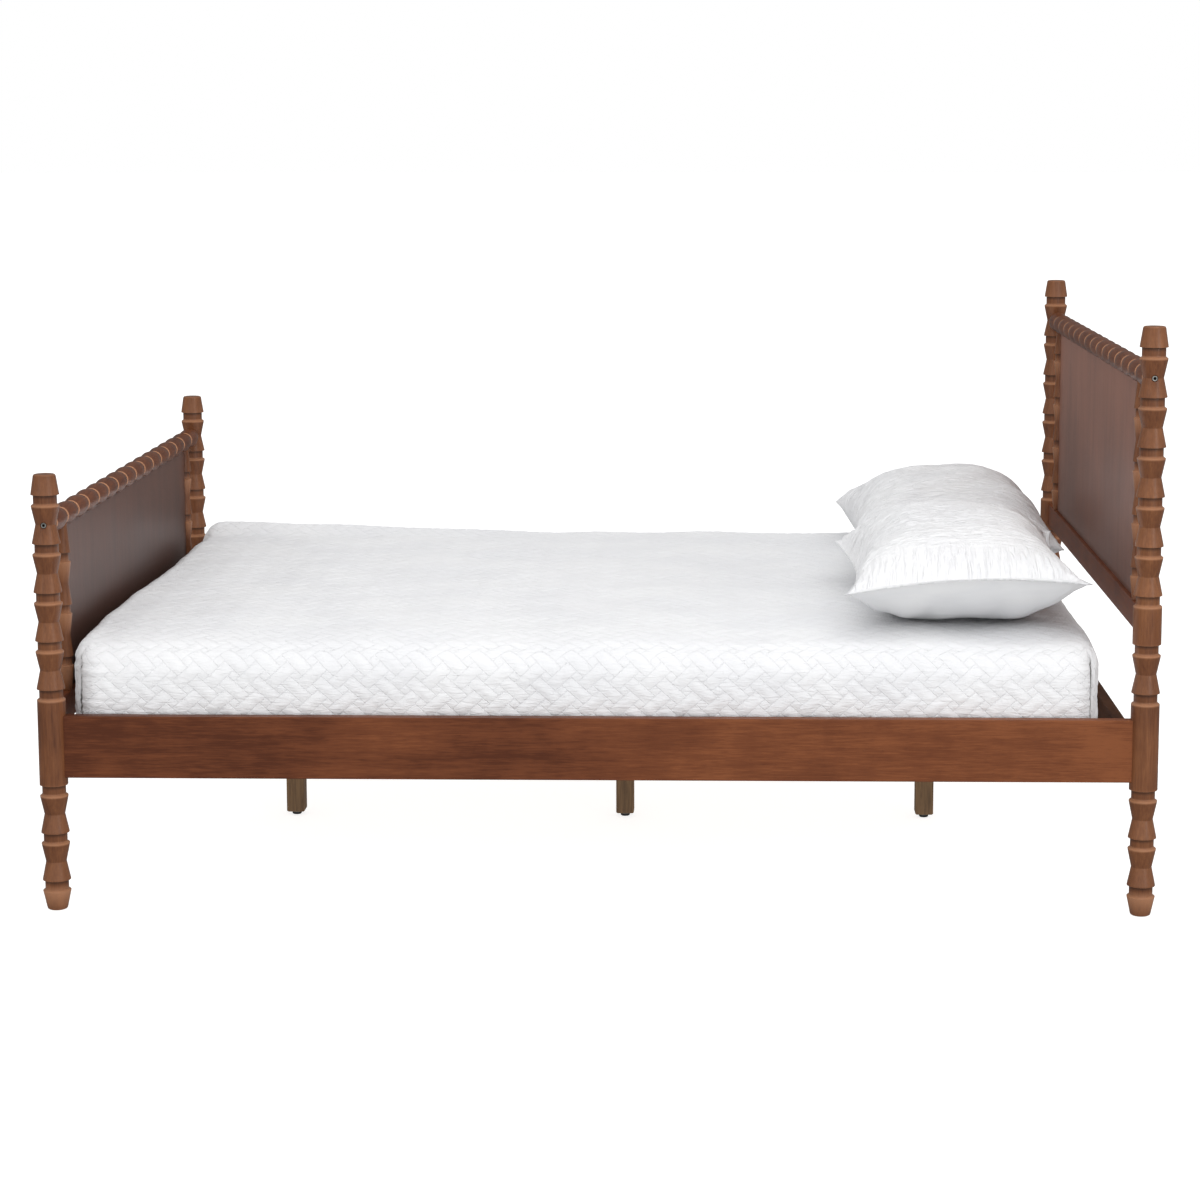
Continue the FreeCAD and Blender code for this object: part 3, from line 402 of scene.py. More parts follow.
def quilted_cotton(name):
    """White quilted cotton: stitched lines greyed with painted shade, a painted shadow down the
    corner seams, small puckers across them and a fine weave.
    """
    finish = Finish(name, 0.85, 0.25)
    stitch = quilt_stitch(finish)
    cells_x, cells_y, _ = cover_cells()
    past_x = finish.cloth("X").size() - cells_x * QUILT_STEP / 2
    past_y = finish.cloth("Y").size() - cells_y * QUILT_STEP / 2
    on_side = past_x.most(past_y).rise(0.010, 0.045)
    seam = past_x.least(past_y).rise(-0.0065, -0.0030) * on_side
    ruche = past_x.least(past_y).rise(-0.075, -0.005) * on_side
    pucker = finish.noise(finish.stretched((38.0, 150.0, 1.0)), 1.0, 3.0, 0.55, 0.6)
    pucker = pucker * (0.75 + ruche * 0.9)
    # painted shade greys the stitched grooves
    colour = finish.mix(stitch * 0.085, tinted(finish, *COVER_COTTON), STITCH_GROOVE_PAINTED_SHADE)
    # painted shadow darkens the groove down each upright corner seam
    colour = finish.mix(seam * 0.95, colour, SEAM_GROOVE_PAINTED_SHADOW)
    normal = woven(finish, finish.bump(pucker, 0.0034, 0.95))
    normal = finish.bump(1.0 - stitch, 0.0009, 0.7, normal)
    return finish.set(Base_Color=colour, Normal=normal)


def rippled_cotton(name, tone):
    """White matelasse of the shams: fine crosswise ripples that turn to puckers at the seams, with
    painted shade in their hollows.
    """
    finish = Finish(name, 0.85, 0.25)
    ripple = finish.noise(finish.stretched((26.0, 130.0, 1.0)), 1.0, 2.5, 0.5, 1.2)
    pucker = finish.noise(finish.stretched((120.0, 20.0, 1.0)), 1.0, 2.5, 0.5, 0.9)
    gather = finish.painted("gather")
    relief = ripple * (1.0 - gather) + pucker * gather
    colour = tinted(finish, *(toned(tint, tone) for tint in SHAM_COTTON))
    # painted shade darkens the hollows of the ripples and puckers
    colour = finish.mix(relief.rise(0.50, 0.30) * 0.14, colour, HOLLOW_PAINTED_SHADE)
    normal = woven(finish, finish.bump(relief.rise(0.28, 0.68), 0.0022, 0.95))
    return finish.set(Base_Color=colour, Normal=normal)


def plain_cotton(name):
    """Smooth white cotton: the sham's back and the piping."""
    finish = Finish(name, 0.85, 0.25)
    weave = finish.noise(finish.place(), 1500.0, 2.0, 0.5)
    crease = finish.noise(finish.place((1.0, 1.0, 2.2)), 7.0, 3.0, 0.5, 0.8)
    colour = finish.mix(crease.rise(0.3, 0.7), *BACK_COTTON)
    normal = finish.bump(crease, 0.004, 0.35)
    normal = finish.bump(weave, 0.0002, 0.3, normal)
    return finish.set(Base_Color=colour, Normal=normal, Roughness=0.80 + weave * 0.1)


# ---- mesh helpers
def crisp(piece):
    """Shades large faces flat to their own slope, with only the eased arrises rounded."""
    weighted = piece.modifiers.new("crisp", "WEIGHTED_NORMAL")
    weighted.mode = "FACE_AREA"
    weighted.weight = 90
    weighted.keep_sharp = True


def finished(name, mesh, materials, body, nodes=()):
    """Links a mesh as a piece of the object, on its body, in place of its CAD nodes."""
    piece = linked(name, mesh)
    for material in materials:
        piece.data.materials.append(material)
    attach(piece, body)
    if nodes:
        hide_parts(*nodes)
    return piece


def modified(tool, *spent):
    """The tool's mesh as its modifiers leave it; the tool and the spent ones are removed."""
    bpy.context.view_layer.update()
    graph = bpy.context.evaluated_depsgraph_get()
    mesh = bpy.data.meshes.new_from_object(tool.evaluated_get(graph), depsgraph=graph)
    for done in (tool, *spent):
        bpy.data.objects.remove(done)
    return mesh


def smooth(mesh, angle):
    """Smooth shading with the creases over an angle in degrees kept sharp."""
    mesh.shade_smooth()
    mesh.set_sharp_from_angle(angle=math.radians(angle))


# ---- turned work
SPIN_STEPS = 72
SHARP_ANGLE = 24.0
RIM_ANGLE = 0.35
POST_ARRIS = 0.7 * MM
RAIL_ARRIS = 0.35 * MM
SPINDLE_ARRIS = 0.5 * MM
RIM_RADIUS = 28.0
WAIST_RADIUS = 20.3
NECK_RADIUS = 23.3
PITCH = 97.0
NECK_GAP = 21.5
LIP = 3.5
LIP_RUN = 3.0
RIM_RUN = 4.0
CONE_START = 0.6
NECK_SHADE = 8.0
FOOT_HEIGHT = 39.0
CAP_HEIGHT = 40.5
# above 0 how pale the stain is painted, for wear and painted light; below 0 how dark, for painted
# shade
RIM_WEAR_AND_HIGHLIGHT = 0.8
LIP_WEAR_AND_HIGHLIGHT = 0.5
NECK_PAINTED_SHADOW = -0.9


def spun(profile, arris):
    """Mesh of a (radius, height, wear and painted light) profile in millimetres spun about Z, its
    rims eased.
    """
    shape = bmesh.new()
    wear_and_painted_light = shape.verts.layers.float.new("wear_and_painted_light")
    points = []
    for radius, height, wear_and_light_level in profile:
        point = shape.verts.new((radius * MM, 0.0, height * MM))
        point[wear_and_painted_light] = wear_and_light_level
        points.append(point)
    edges = [shape.edges.new(pair) for pair in zip(points, points[1:])]
    bmesh.ops.spin(
        shape,
        geom=points + edges,
        cent=(0.0, 0.0, 0.0),
        axis=(0.0, 0.0, 1.0),
        angle=math.tau,
        steps=SPIN_STEPS,
        use_merge=True,
    )
    bmesh.ops.remove_doubles(shape, verts=shape.verts, dist=0.00001)
    bmesh.ops.recalc_face_normals(shape, faces=shape.faces)
    edges = [edge for edge in shape.edges if edge.is_manifold]
    rims = [edge for edge in edges if edge.calc_face_angle(0.0) > RIM_ANGLE]
    bmesh.ops.bevel(
        shape,
        geom=rims,
        offset=arris,
        segments=2,
        profile=0.5,
        affect="EDGES",
        material=-1,
        clamp_overlap=True,
    )
    mesh = poured(shape, "turned")
    smooth(mesh, SHARP_ANGLE)
    return mesh


def tier_top(tier):
    return FOOT_HEIGHT + tier * PITCH


def tier_bottom(tier):
    return tier_top(tier - 1) + NECK_GAP


def neck_under(bottom):
    """The neck under a rim, painted dark as shadow, darkest where it meets the rim."""
    return [(NECK_RADIUS, bottom - NECK_SHADE, 0.0), (NECK_RADIUS, bottom, NECK_PAINTED_SHADOW)]


def lip_over(top):
    """The rim at a tier's top and its sloping lip down to the next neck, painted pale for wear and
    highlight.
    """
    return [
        (RIM_RADIUS, top, RIM_WEAR_AND_HIGHLIGHT),
        (NECK_RADIUS, top + LIP, LIP_WEAR_AND_HIGHLIGHT),
        (NECK_RADIUS, top + LIP + LIP_RUN, 0.0),
    ]


def hourglass(tier):
    bottom, top = tier_bottom(tier), tier_top(tier)
    waist = (bottom + top) / 2
    # painted light: the lower cone faces up and is painted paler, the upper cone faces down and is
    # painted darker
    cones = [
        (RIM_RADIUS, bottom, 0.1),
        (RIM_RADIUS - CONE_START, bottom + RIM_RUN, 0.14),
        (WAIST_RADIUS, waist, 0.10),
        (WAIST_RADIUS, waist + 0.4, -0.10),
        (RIM_RADIUS - CONE_START, top - RIM_RUN, -0.06),
    ]
    return neck_under(bottom) + cones + lip_over(top)


def straight(first, last):
    bottom, top = tier_bottom(first), tier_top(last)
    block = [
        # the block's bottom rim is painted pale, for wear and highlight
        (RIM_RADIUS, bottom, 0.2),
        (RIM_RADIUS, bottom + RIM_RUN, 0.0),
        (RIM_RADIUS, top - RIM_RUN, 0.0),
    ]
    return neck_under(bottom) + block + lip_over(top)


def post_profile(tiers, blocks):
    """Foot, tiers and cap; blocks are the tiers left straight, as (first, last)."""
    # the edges of the foot and cap are painted a little pale, for wear and highlight
    profile = [(0.0, 0.0, 0.0), (16.5, 0.0, 0.2), (19.4, 1.6, 0.2), (20.6, 5.0, 0.1)]
    profile += lip_over(FOOT_HEIGHT)[:2]
    skip = 0
    for tier in range(1, tiers + 1):
        block = [pair for pair in blocks if pair[0] == tier]
        if block:
            profile += straight(*block[0])
            skip = block[0][1]
        elif tier > skip:
            profile += hourglass(tier)
    base = tier_top(tiers) + NECK_GAP
    profile += neck_under(base)
    profile += [
        (RIM_RADIUS, base, 0.2),
        (22.3, base + CAP_HEIGHT - 3.6, 0.1),
        (21.0, base + CAP_HEIGHT - 1.0, 0.3),
        (18.6, base + CAP_HEIGHT, 0.2),
        (0.0, base + CAP_HEIGHT, 0.0),
    ]
    return profile


def bored(mesh, bores):
    """Cuts round holes: each bore is (centre, direction, radius, length) in metres."""
    work = linked("tool", mesh)
    tools = []
    for centre, direction, radius, length in bores:
        drill = bmesh.new()
        turn = Vector(direction).to_track_quat("Z", "Y").to_matrix().to_4x4()
        bmesh.ops.create_cone(
            drill,
            cap_ends=True,
            segments=32,
            radius1=radius,
            radius2=radius,
            depth=length,
            matrix=Matrix.Translation(centre) @ turn,
        )
        tools.append(linked("tool", poured(drill, "drill")))
        cut = work.modifiers.new("cut", "BOOLEAN")
        cut.operation = "DIFFERENCE"
        cut.solver = "EXACT"
        cut.object = tools[-1]
    return modified(work, *tools)


POSTS = {
    "headboard": {"tiers": 11, "blocks": [(3, 4), (6, 6)]},
    "footboard": {"tiers": 8, "blocks": [(3, 4)]},
}
TOP_BORE_RADIUS = 6.4 * MM
TOP_BORE_DEPTH = 7.5 * MM
SIDE_BORE_RADIUS = 7.5 * MM
SIDE_BORE_DEPTH = 10.0 * MM
SIDE_BOLT_HEIGHTS = (302.5 * MM, 362.5 * MM)


def make_posts(wood):
    """The four posts, with the bores for the bolts of the top and side rails."""
    for board, facts in POSTS.items():
        end = 1 if board == "headboard" else -1
        profile = post_profile(facts["tiers"], facts["blocks"])
        waist = (tier_bottom(facts["tiers"]) + tier_top(facts["tiers"])) / 2 * MM
        for side, sign in (("left", 1), ("right", -1)):
            node = f"{board}_post_{side}"
            low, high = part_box(node)
            centre = (low + high) / 2
            mesh = spun(profile, POST_ARRIS)
            mesh.transform(Matrix.Translation((centre.x, centre.y, 0.0)))
            outer_y = centre.y + sign * WAIST_RADIUS * MM
            outer_x = centre.x + end * RIM_RADIUS * MM
            bores = [((centre.x, outer_y, waist), (0, 1, 0), TOP_BORE_RADIUS, 2 * TOP_BORE_DEPTH)]
            for height in SIDE_BOLT_HEIGHTS:
                place = (outer_x, centre.y, height)
                bores.append((place, (1, 0, 0), SIDE_BORE_RADIUS, 2 * SIDE_BORE_DEPTH))
            mesh = bored(mesh, bores)
            smooth(mesh, SHARP_ANGLE)
            crisp(finished(node + "_turned", mesh, [wood], FRAME_BODY, [node]))


BEADS = 16
BEAD_RADIUS = 23.3
BEAD_NOTCH = 14.9
BEAD_LIP = 2.3
BEAD_SWELL = 1.5
BEAD_LIP_START = 0.90
BEAD_LIP_WEAR_AND_HIGHLIGHT = 1.2
NOTCH_PAINTED_SHADE = -0.7
RAIL_SETBACK = 9.0
BEAD_STATIONS = (0.95, 0.905, 0.86, 0.74, 0.60, 0.45, 0.30, 0.15)


def rail_profile(half_span):
    """Barrel beads with a steep lip at each end, painted pale for wear and highlight, which meet
    in sharp notches painted dark as shade.
    """
    half_bead = (half_span - WAIST_RADIUS) / BEADS
    reach = half_span - RAIL_SETBACK
    profile = [(0.0, -reach, 0.0), (BEAD_NOTCH, -reach, 0.0)]
    profile.append((BEAD_NOTCH, -half_bead * BEADS, NOTCH_PAINTED_SHADE))
    for bead in range(BEADS):
        middle = (2 * bead + 1 - BEADS) * half_bead
        stations = [-share for share in BEAD_STATIONS] + [0.0] + list(BEAD_STATIONS[::-1])
        for share in stations:
            fall = (BEAD_RADIUS - BEAD_NOTCH - BEAD_LIP) * abs(share) ** BEAD_SWELL
            # the lips are painted pale for wear and highlight, the notches dark as painted shade
            wear_and_painted_light = BEAD_LIP_WEAR_AND_HIGHLIGHT if abs(share) > BEAD_LIP_START else 0.0
            profile.append((BEAD_RADIUS - fall, middle + share * half_bead, wear_and_painted_light))
        profile.append((BEAD_NOTCH, middle + half_bead, NOTCH_PAINTED_SHADE))
    profile += [(BEAD_NOTCH, reach, 0.0), (0.0, reach, 0.0)]
    return profile


def make_top_rails(wood):
    """The two beaded rails, laid across the bed between their posts."""
    for board in POSTS:
        node = f"{board}_top_rail"
        low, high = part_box(node)
        centre = (low + high) / 2
        post_low, post_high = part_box(f"{board}_post_left")
        half_span = (post_low.y + post_high.y) / 2 / MM
        mesh = spun(rail_profile(half_span), RAIL_ARRIS)
        mesh.transform(Matrix.Rotation(-math.pi / 2, 4, "X"))
        mesh.transform(Matrix.Translation((centre.x, 0.0, centre.z)))
        finished(node + "_turned", mesh, [wood], FRAME_BODY, [node])


SPINDLE_RIM = 17.0
SPINDLE_WAIST = 11.8
SPINDLE_NECK = 13.6
SPINDLE_PITCH = 106.0
SPINDLE_NECK_GAP = 19.0
SPINDLE_LIP = 2.4
SPINDLE_TENON = 14.0
SPINDLE_PLAIN_TOP = 10.5
SPINDLE_PEG = 2.0


def spindle_profile(low, high):
    """Half an hourglass, whole ones and half a one, from the board up to the rail."""
    turned_top = high - SPINDLE_PLAIN_TOP
    middle = (low + turned_top) / 2
    necks = round((turned_top - low) / SPINDLE_PITCH)
    half_glass = (SPINDLE_PITCH - SPINDLE_NECK_GAP) / 2
    peg = low - SPINDLE_PEG
    profile = [(0.0, peg, 0.0), (SPINDLE_WAIST, peg, 0.0), (SPINDLE_WAIST, low, 0.0)]
    for neck in range(necks):
        centre = middle + (neck - (necks - 1) / 2) * SPINDLE_PITCH
        under, over = centre - SPINDLE_NECK_GAP / 2, centre + SPINDLE_NECK_GAP / 2
        # the rim and lip are painted pale for wear and highlight; the neck is painted dark as the
        # shadow under the rim above
        profile += [
            (SPINDLE_RIM, under, 0.7),
            (SPINDLE_NECK, under + SPINDLE_LIP, 0.4),
            (SPINDLE_NECK, over - NECK_SHADE, 0.0),
            (SPINDLE_NECK, over, -0.8),
            (SPINDLE_RIM, over, 0.1),
        ]
        if neck < necks - 1:
            profile.append((SPINDLE_WAIST, over + half_glass, 0.0))
    profile += [(SPINDLE_WAIST, turned_top, 0.0), (SPINDLE_WAIST, high, 0.0), (0.0, high, 0.0)]
    return profile


def make_spindles(wood):
    """The slim spindles at both sides of each panel."""
    for board in POSTS:
        for side in ("left", "right"):
            node = f"{board}_spindle_{side}"
            low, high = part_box(node)
            centre = (low + high) / 2
            bottom = low.z / MM + SPINDLE_TENON
            top = high.z / MM - SPINDLE_TENON
            mesh = spun(spindle_profile(bottom, top), SPINDLE_ARRIS)
            mesh.transform(Matrix.Translation((centre.x, centre.y, 0.0)))
            crisp(finished(node + "_turned", mesh, [wood], FRAME_BODY, [node]))


# ---- fabric
def fabric(cells, step, layers=(1.0,), drop_corners=0):
    """Flat grids of square cells, corners left out if asked; points keep flat place and layer."""
    shape = bmesh.new()
    size = Matrix.Diagonal((cells[0] * step, cells[1] * step, 1.0, 1.0))
    side = shape.verts.layers.float.new("layer")
    for layer in layers:
        grid = bmesh.ops.create_grid(
            shape, x_segments=cells[0], y_segments=cells[1], size=0.5, matrix=size
        )
        for point in grid["verts"]:
            point[side] = layer
        if layer < 0:
            faces = list({face for point in grid["verts"] for face in point.link_faces})
            bmesh.ops.reverse_faces(shape, faces=faces)
    if drop_corners:
        edge_x = (cells[0] / 2 - drop_corners + 0.1) * step
        edge_y = (cells[1] / 2 - drop_corners + 0.1) * step
        corners = [p for p in shape.verts if abs(p.co.x) > edge_x and abs(p.co.y) > edge_y]
        bmesh.ops.delete(shape, geom=corners, context="VERTS")
    flat_x = shape.verts.layers.float.new("flat_x")
    flat_y = shape.verts.layers.float.new("flat_y")
    chart = shape.loops.layers.uv.new("fabric")
    for point in shape.verts:
        point[flat_x], point[flat_y] = point.co.x, point.co.y
    for face in shape.faces:
        for loop in face.loops:
            loop[chart].uv = loop.vert.co.xy
    return poured(shape, "fabric")


def points_of(mesh, kind="co"):
    """The places, or the normals, of a mesh's points."""
    values = np.empty(len(mesh.vertices) * 3)
    mesh.vertices.foreach_get(kind, values)
    return values.reshape(-1, 3)


def note(mesh, name):
    values = np.empty(len(mesh.vertices))
    mesh.attributes[name].data.foreach_get("value", values)
    return values


def move_to(mesh, places):
    mesh.vertices.foreach_set("co", places.astype(np.float32).ravel())
    mesh.update()


def sewn(mesh, reach=0.0004):
    """Merges the points of seams that meet, and turns all faces outwards."""
    shape = bmesh.new()
    shape.from_mesh(mesh)
    bmesh.ops.remove_doubles(shape, verts=shape.verts, dist=reach)
    bmesh.ops.recalc_face_normals(shape, faces=shape.faces)
    shape.to_mesh(mesh)
    shape.free()
    return mesh


def waves(x, y, seed, height, count, shortest, longest, slant=None):
    """Sum of random plane waves over x and y; slant narrows their direction (radians, spread)."""
    pick = random.Random(seed)
    total = np.zeros_like(x)
    for _ in range(count):
        length = math.exp(pick.uniform(math.log(shortest), math.log(longest)))
        if slant is None:
            angle = pick.uniform(0, math.tau)
        else:
            angle = slant[0] + pick.gauss(0, slant[1])
        phase = pick.uniform(0, math.tau)
        total += np.sin((x * math.cos(angle) + y * math.sin(angle)) * math.tau / length + phase)
    return height * (total / math.sqrt(count / 2) / 2)


def eased(values, low, high):
    """0 below low, 1 above high, smooth between."""
    part = np.clip((values - low) / (high - low), 0, 1)
    return part * part * (3 - 2 * part)


def band(values, start, full, fading, end):
    """0 up to start and from end on, 1 from full to fading, smooth between."""
    return eased(values, start, full) * (1 - eased(values, fading, end))


def puff(x, y):
    """Height of the quilting: 0 on the middles of the strips, sunk to the stitched lines."""
    gap = np.maximum(stitch_gap(x, y, np.floor, np.minimum, np.maximum), 0.0) * QUILT_PITCH
    part = np.clip(gap / PUFF_SPREAD, 0, 1)
    return PUFF_DEPTH * (np.sin(part * math.pi / 2) ** 0.75) - PUFF_DEPTH


# ---- mattress in its quilted cover
COVER_CORNER = 0.046
COVER_EDGE = 0.036
COVER_CLEARANCE = 0.0012
HEM_WIDTH = 0.110
HEM_RISE = 0.003
HEM_ANGLE = 60.0
PUFF_DEPTH = 0.0024
PUFF_SPREAD = 0.0090
BELLY = 0.016
TUCKED_BELLY = 0.0065
RAIL_ROOM = (0.030, 0.055)
FOOT_LIFT = 0.014
SEAM_GROOVE = 0.009
SEAM_OFFSET = COVER_CORNER * 0.586
SHOULDER_WIDTH = 0.17
SHOULDER_DROP = 0.014
NEAR_FOOT_RISE = 0.004
FAR_FOOT_RISE = 0.028
SIDE_LIMIT = 0.0185
# of each unevenness: seed, height, count of waves, the shortest and longest, and their slant
LUMPS = (3, 0.0030, 14, 0.16, 0.55)
HANG = (5, 0.0018, 12, 0.09, 0.30, (0.0, 0.5))
WRINKLES = (7, 0.0007, 16, 0.022, 0.06)
SEAM_RUCHE = (11, 0.0024, 10, 0.016, 0.034, (math.pi / 2, 0.15))


def rounded_block(x, y, z, half_x, half_y):
    """Rounds a sharp block's upright corners in plan, then the edge round its top."""
    inner_x = np.clip(x, -half_x + COVER_CORNER, half_x - COVER_CORNER)
    inner_y = np.clip(y, -half_y + COVER_CORNER, half_y - COVER_CORNER)
    out_x, out_y = x - inner_x, y - inner_y
    reach = np.maximum(np.abs(out_x), np.abs(out_y))
    length = np.hypot(out_x, out_y)
    turn = np.where(length > 1e-9, reach / np.maximum(length, 1e-9), 1.0)
    out_x, out_y, reach = out_x * turn, out_y * turn, length * turn
    edge = np.clip(COVER_CORNER - reach, 0, COVER_EDGE)
    sink = np.clip(-z, 0, COVER_EDGE)
    side_in = np.where(edge < COVER_EDGE, COVER_EDGE - edge, 0.0)
    rise = COVER_EDGE - sink
    corner = np.hypot(side_in, rise)
    pulled = (corner > COVER_EDGE) & (side_in > 0) & (sink < COVER_EDGE)
    big = np.maximum(side_in, rise) / np.maximum(corner, 1e-9)
    round_in = np.where(pulled, side_in * big, side_in)
    round_up = np.where(pulled, rise * big, rise)
    inset = COVER_CORNER - COVER_EDGE + round_in
    shrink = np.where(reach > 1e-9, inset / np.maximum(reach, 1e-9), 1.0)
    shrink = np.where(side_in > 0, shrink, 1.0)
    z = np.where(sink < COVER_EDGE, round_up - COVER_EDGE, z)
    return inner_x + out_x * shrink, inner_y + out_y * shrink, z


def folded_cover():
    """The cover's flat cross of cloth folded down over the four sides of the mattress."""
    middle, half_x, half_y, bottom, top = cover_size()
    top -= COVER_CLEARANCE
    cells_x, cells_y, cells_z = cover_cells()
    cells = (cells_x + 2 * cells_z, cells_y + 2 * cells_z)
    mesh = fabric(cells, QUILT_STEP, drop_corners=cells_z)
    flat_x, flat_y = note(mesh, "flat_x"), note(mesh, "flat_y")
    edge_x, edge_y = cells_x * QUILT_STEP / 2, cells_y * QUILT_STEP / 2
    over_x = np.maximum(np.abs(flat_x) - edge_x, 0)
    over_y = np.maximum(np.abs(flat_y) - edge_y, 0)
    x = np.clip(flat_x, -edge_x, edge_x) / edge_x * half_x
    y = np.clip(flat_y, -edge_y, edge_y) / edge_y * half_y
    down = np.maximum(over_x, over_y) / (cells_z * QUILT_STEP) * (top - bottom)
    x, y, z = rounded_block(x, y, -down, half_x, half_y)
    move_to(mesh, np.stack((x + middle.x, y + middle.y, z + top), axis=1))
    return sewn(mesh)


def slacken(mesh):
    """The cover's own slack: sides swell a little, the top is softly uneven, corners gather."""
    middle, half_x, half_y, bottom, top = cover_size()
    top -= COVER_CLEARANCE
    places, normals = points_of(mesh), points_of(mesh, "normal")
    flat_x, flat_y = note(mesh, "flat_x"), note(mesh, "flat_y")
    x, y, z = places.T
    far_x, far_y = np.abs(x - middle.x), np.abs(y - middle.y)
    on_side = eased(top - z, 0.0, 0.05)
    above_rail = eased(z, bottom + RAIL_ROOM[0], bottom + RAIL_ROOM[1])
    at_end = eased(far_x, half_x - 0.05, half_x - 0.01)
    belly = BELLY * eased(top - z, 0.0, 0.060) * above_rail * (1 - 0.55 * at_end)
    belly = belly + TUCKED_BELLY * (1 - above_rail) * at_end * np.abs(normals[:, 0])
    near_foot = at_end * (x < middle.x) * eased(-y, -0.10, 0.35)
    lifted = FOOT_LIFT * near_foot * np.abs(normals[:, 0]) * np.maximum(normals[:, 2], 0)
    lumps = waves(x, y, *LUMPS) * (1 - on_side)
    hang = waves(flat_x, flat_y, *HANG) * on_side
    wrinkle = waves(flat_x, flat_y, *WRINKLES) * (0.4 + 0.6 * on_side)
    # the upright seams at the corners, gathered most at the foot's long sides
    seam_gap = (half_x - far_x) + (half_y - far_y)
    near_seam = (1 - eased(np.abs(seam_gap - SEAM_OFFSET), 0.0, 0.07)) * on_side
    ruche = waves(flat_x * 0.15, z, *SEAM_RUCHE) * near_seam * np.where(x < middle.x, 1.0, 0.35)
    ruche = ruche * (0.2 + 0.8 * np.abs(normals[:, 1]))
    off_seam = np.abs(far_x - half_x - far_y + half_y)
    groove = -SEAM_GROOVE * (1 - eased(off_seam, 0.0, 0.010)) * on_side
    groove = groove * eased(seam_gap, 0.0, 0.01) * (seam_gap < 0.08)
    quilting = puff(flat_x, flat_y) * (1 - 0.6 * near_seam) * (0.75 + 0.25 * on_side)
    swell = belly + lumps + hang + wrinkle + ruche + groove + quilting + lifted
    # the foot's corners and the near long edge stand higher and lower than a plain block's
    towards_foot = middle.x - x
    foot_near = eased(towards_foot, 0.55 * half_x, half_x) * eased(-y, 0.72 * half_y, half_y)
    foot_far = eased(towards_foot, 0.05 * half_x, 0.95 * half_x)
    foot_far = foot_far * eased(y, 0.86 * half_y, half_y)
    rise = FAR_FOOT_RISE * foot_far * (1 - on_side * 0.5)
    rise = rise - NEAR_FOOT_RISE * foot_near * (1 - on_side * 0.4)
    edge_gap = y - middle.y + half_y
    shoulder = np.clip(1 - edge_gap / SHOULDER_WIDTH, 0, 1) ** 2
    places = places + normals * swell[:, None]
    places[:, 2] += (rise - SHOULDER_DROP * shoulder) * eased(z, bottom, top)
    places[:, 2] = np.maximum(places[:, 2], bottom)
    limit = half_y + SIDE_LIMIT
    places[:, 1] = np.clip(places[:, 1], middle.y - limit, middle.y + limit)
    move_to(mesh, places)


def hem(mesh):
    """Turns the cover in under the mattress and closes it with the mattress's own ticking."""
    middle, half_x, half_y, bottom, _ = cover_size()
    shape = bmesh.new()
    shape.from_mesh(mesh)
    rim = [edge for edge in shape.edges if edge.is_boundary]
    for point in {point for edge in rim for point in edge.verts}:
        point.co.z = bottom
    centre = Vector((middle.x, middle.y, 0.0))
    for step, lift in ((HEM_WIDTH, 0.0), (MM, HEM_RISE)):
        grown = bmesh.ops.extrude_edge_only(shape, edges=rim)["geom"]
        points = [item for item in grown if isinstance(item, bmesh.types.BMVert)]
        edges = [item for item in grown if isinstance(item, bmesh.types.BMEdge)]
        rim = [edge for edge in edges if edge.is_boundary]
        for point in points:
            off = point.co - centre
            point.co.x -= step * max(-1, min(1, off.x / (half_x - HEM_WIDTH * 0.9)))
            point.co.y -= step * max(-1, min(1, off.y / (half_y - HEM_WIDTH * 0.9)))
            point.co.z = bottom + lift
    bmesh.ops.holes_fill(shape, edges=rim, sides=0)
    bmesh.ops.recalc_face_normals(shape, faces=shape.faces)
    for face in shape.faces:
        if face.calc_center_median().z < bottom + HEM_RISE + MM:
            face.material_index = 1
    shape.to_mesh(mesh)
    shape.free()


def make_mattress(quilt, cotton):
    mesh = folded_cover()
    slacken(mesh)
    hem(mesh)
    smooth(mesh, HEM_ANGLE)
    nodes = ["mattress_cover", "mattress_core"]
    materials = [quilt, cotton]
    piece = finished("mattress_quilted", mesh, materials, MATTRESS_BODY, nodes)


# ---- pillows in quilted shams
PILLOW_STEP = 0.0062
PILLOW_REST = 0.0002
PILLOW_OVER = 0.006
PILLOW_SIDE = 0.003
SEAM_LIP = 0.0024
SEAM_SAG = 0.012
PIPING = 0.0022
PIPING_BAND = (0.0, 0.007, 0.012, 0.020)
END_GATHER = (0.002, 0.016, 0.045, 0.13)
SIDE_GATHER = (0.002, 0.016, 0.03, 0.08)
# of each crease: height, count of waves, the shortest and longest, and their slant
RIPPLE = (0.0011, 22, 0.013, 0.026, (math.pi / 2, 0.20))
PUCKER = (20, 0.010, 0.022, (0.0, 0.16))
CRIMP = (0.0016, 16, 0.012, 0.026, (math.pi / 2, 0.10))
BROAD = (0.0045, 8, 0.12, 0.34)
FOLDS = (0.004, 9, 0.07, 0.22, (0.0, 0.35))
STUFFING_PRESSURE = 2.5
STUFFING_MOST = 0.009
STUFFING_STEPS = 20
FULL_PUCKER = 0.0012
# seam: its height at the foot and head sides and its arch at the ends; waist: how far the
# foot, head and end sides are drawn in; crown: its place from -1 to 1 and its height
PILLOWS = {
    "pillow_right": {
        "seam": (0.088, 0.112, 0.020),
        "waist": (0.040, 0.034, 0.016),
        "crown": (0.07, 0.0, 0.222),
        "pucker": 0.0012,
        "inset": (0.0, 0.012),
        "head_full": 0.85,
        "seed": 21,
    },
    "pillow_left": {
        "seam": (0.076, 0.066, 0.014),
        "waist": (0.036, 0.030, 0.016),
        "crown": (0.12, 0.02, 0.199),
        "pucker": 0.0005,
        "inset": (0.014, 0.014),
        "head_full": 0.62,
        "seed": 34,
    },
}


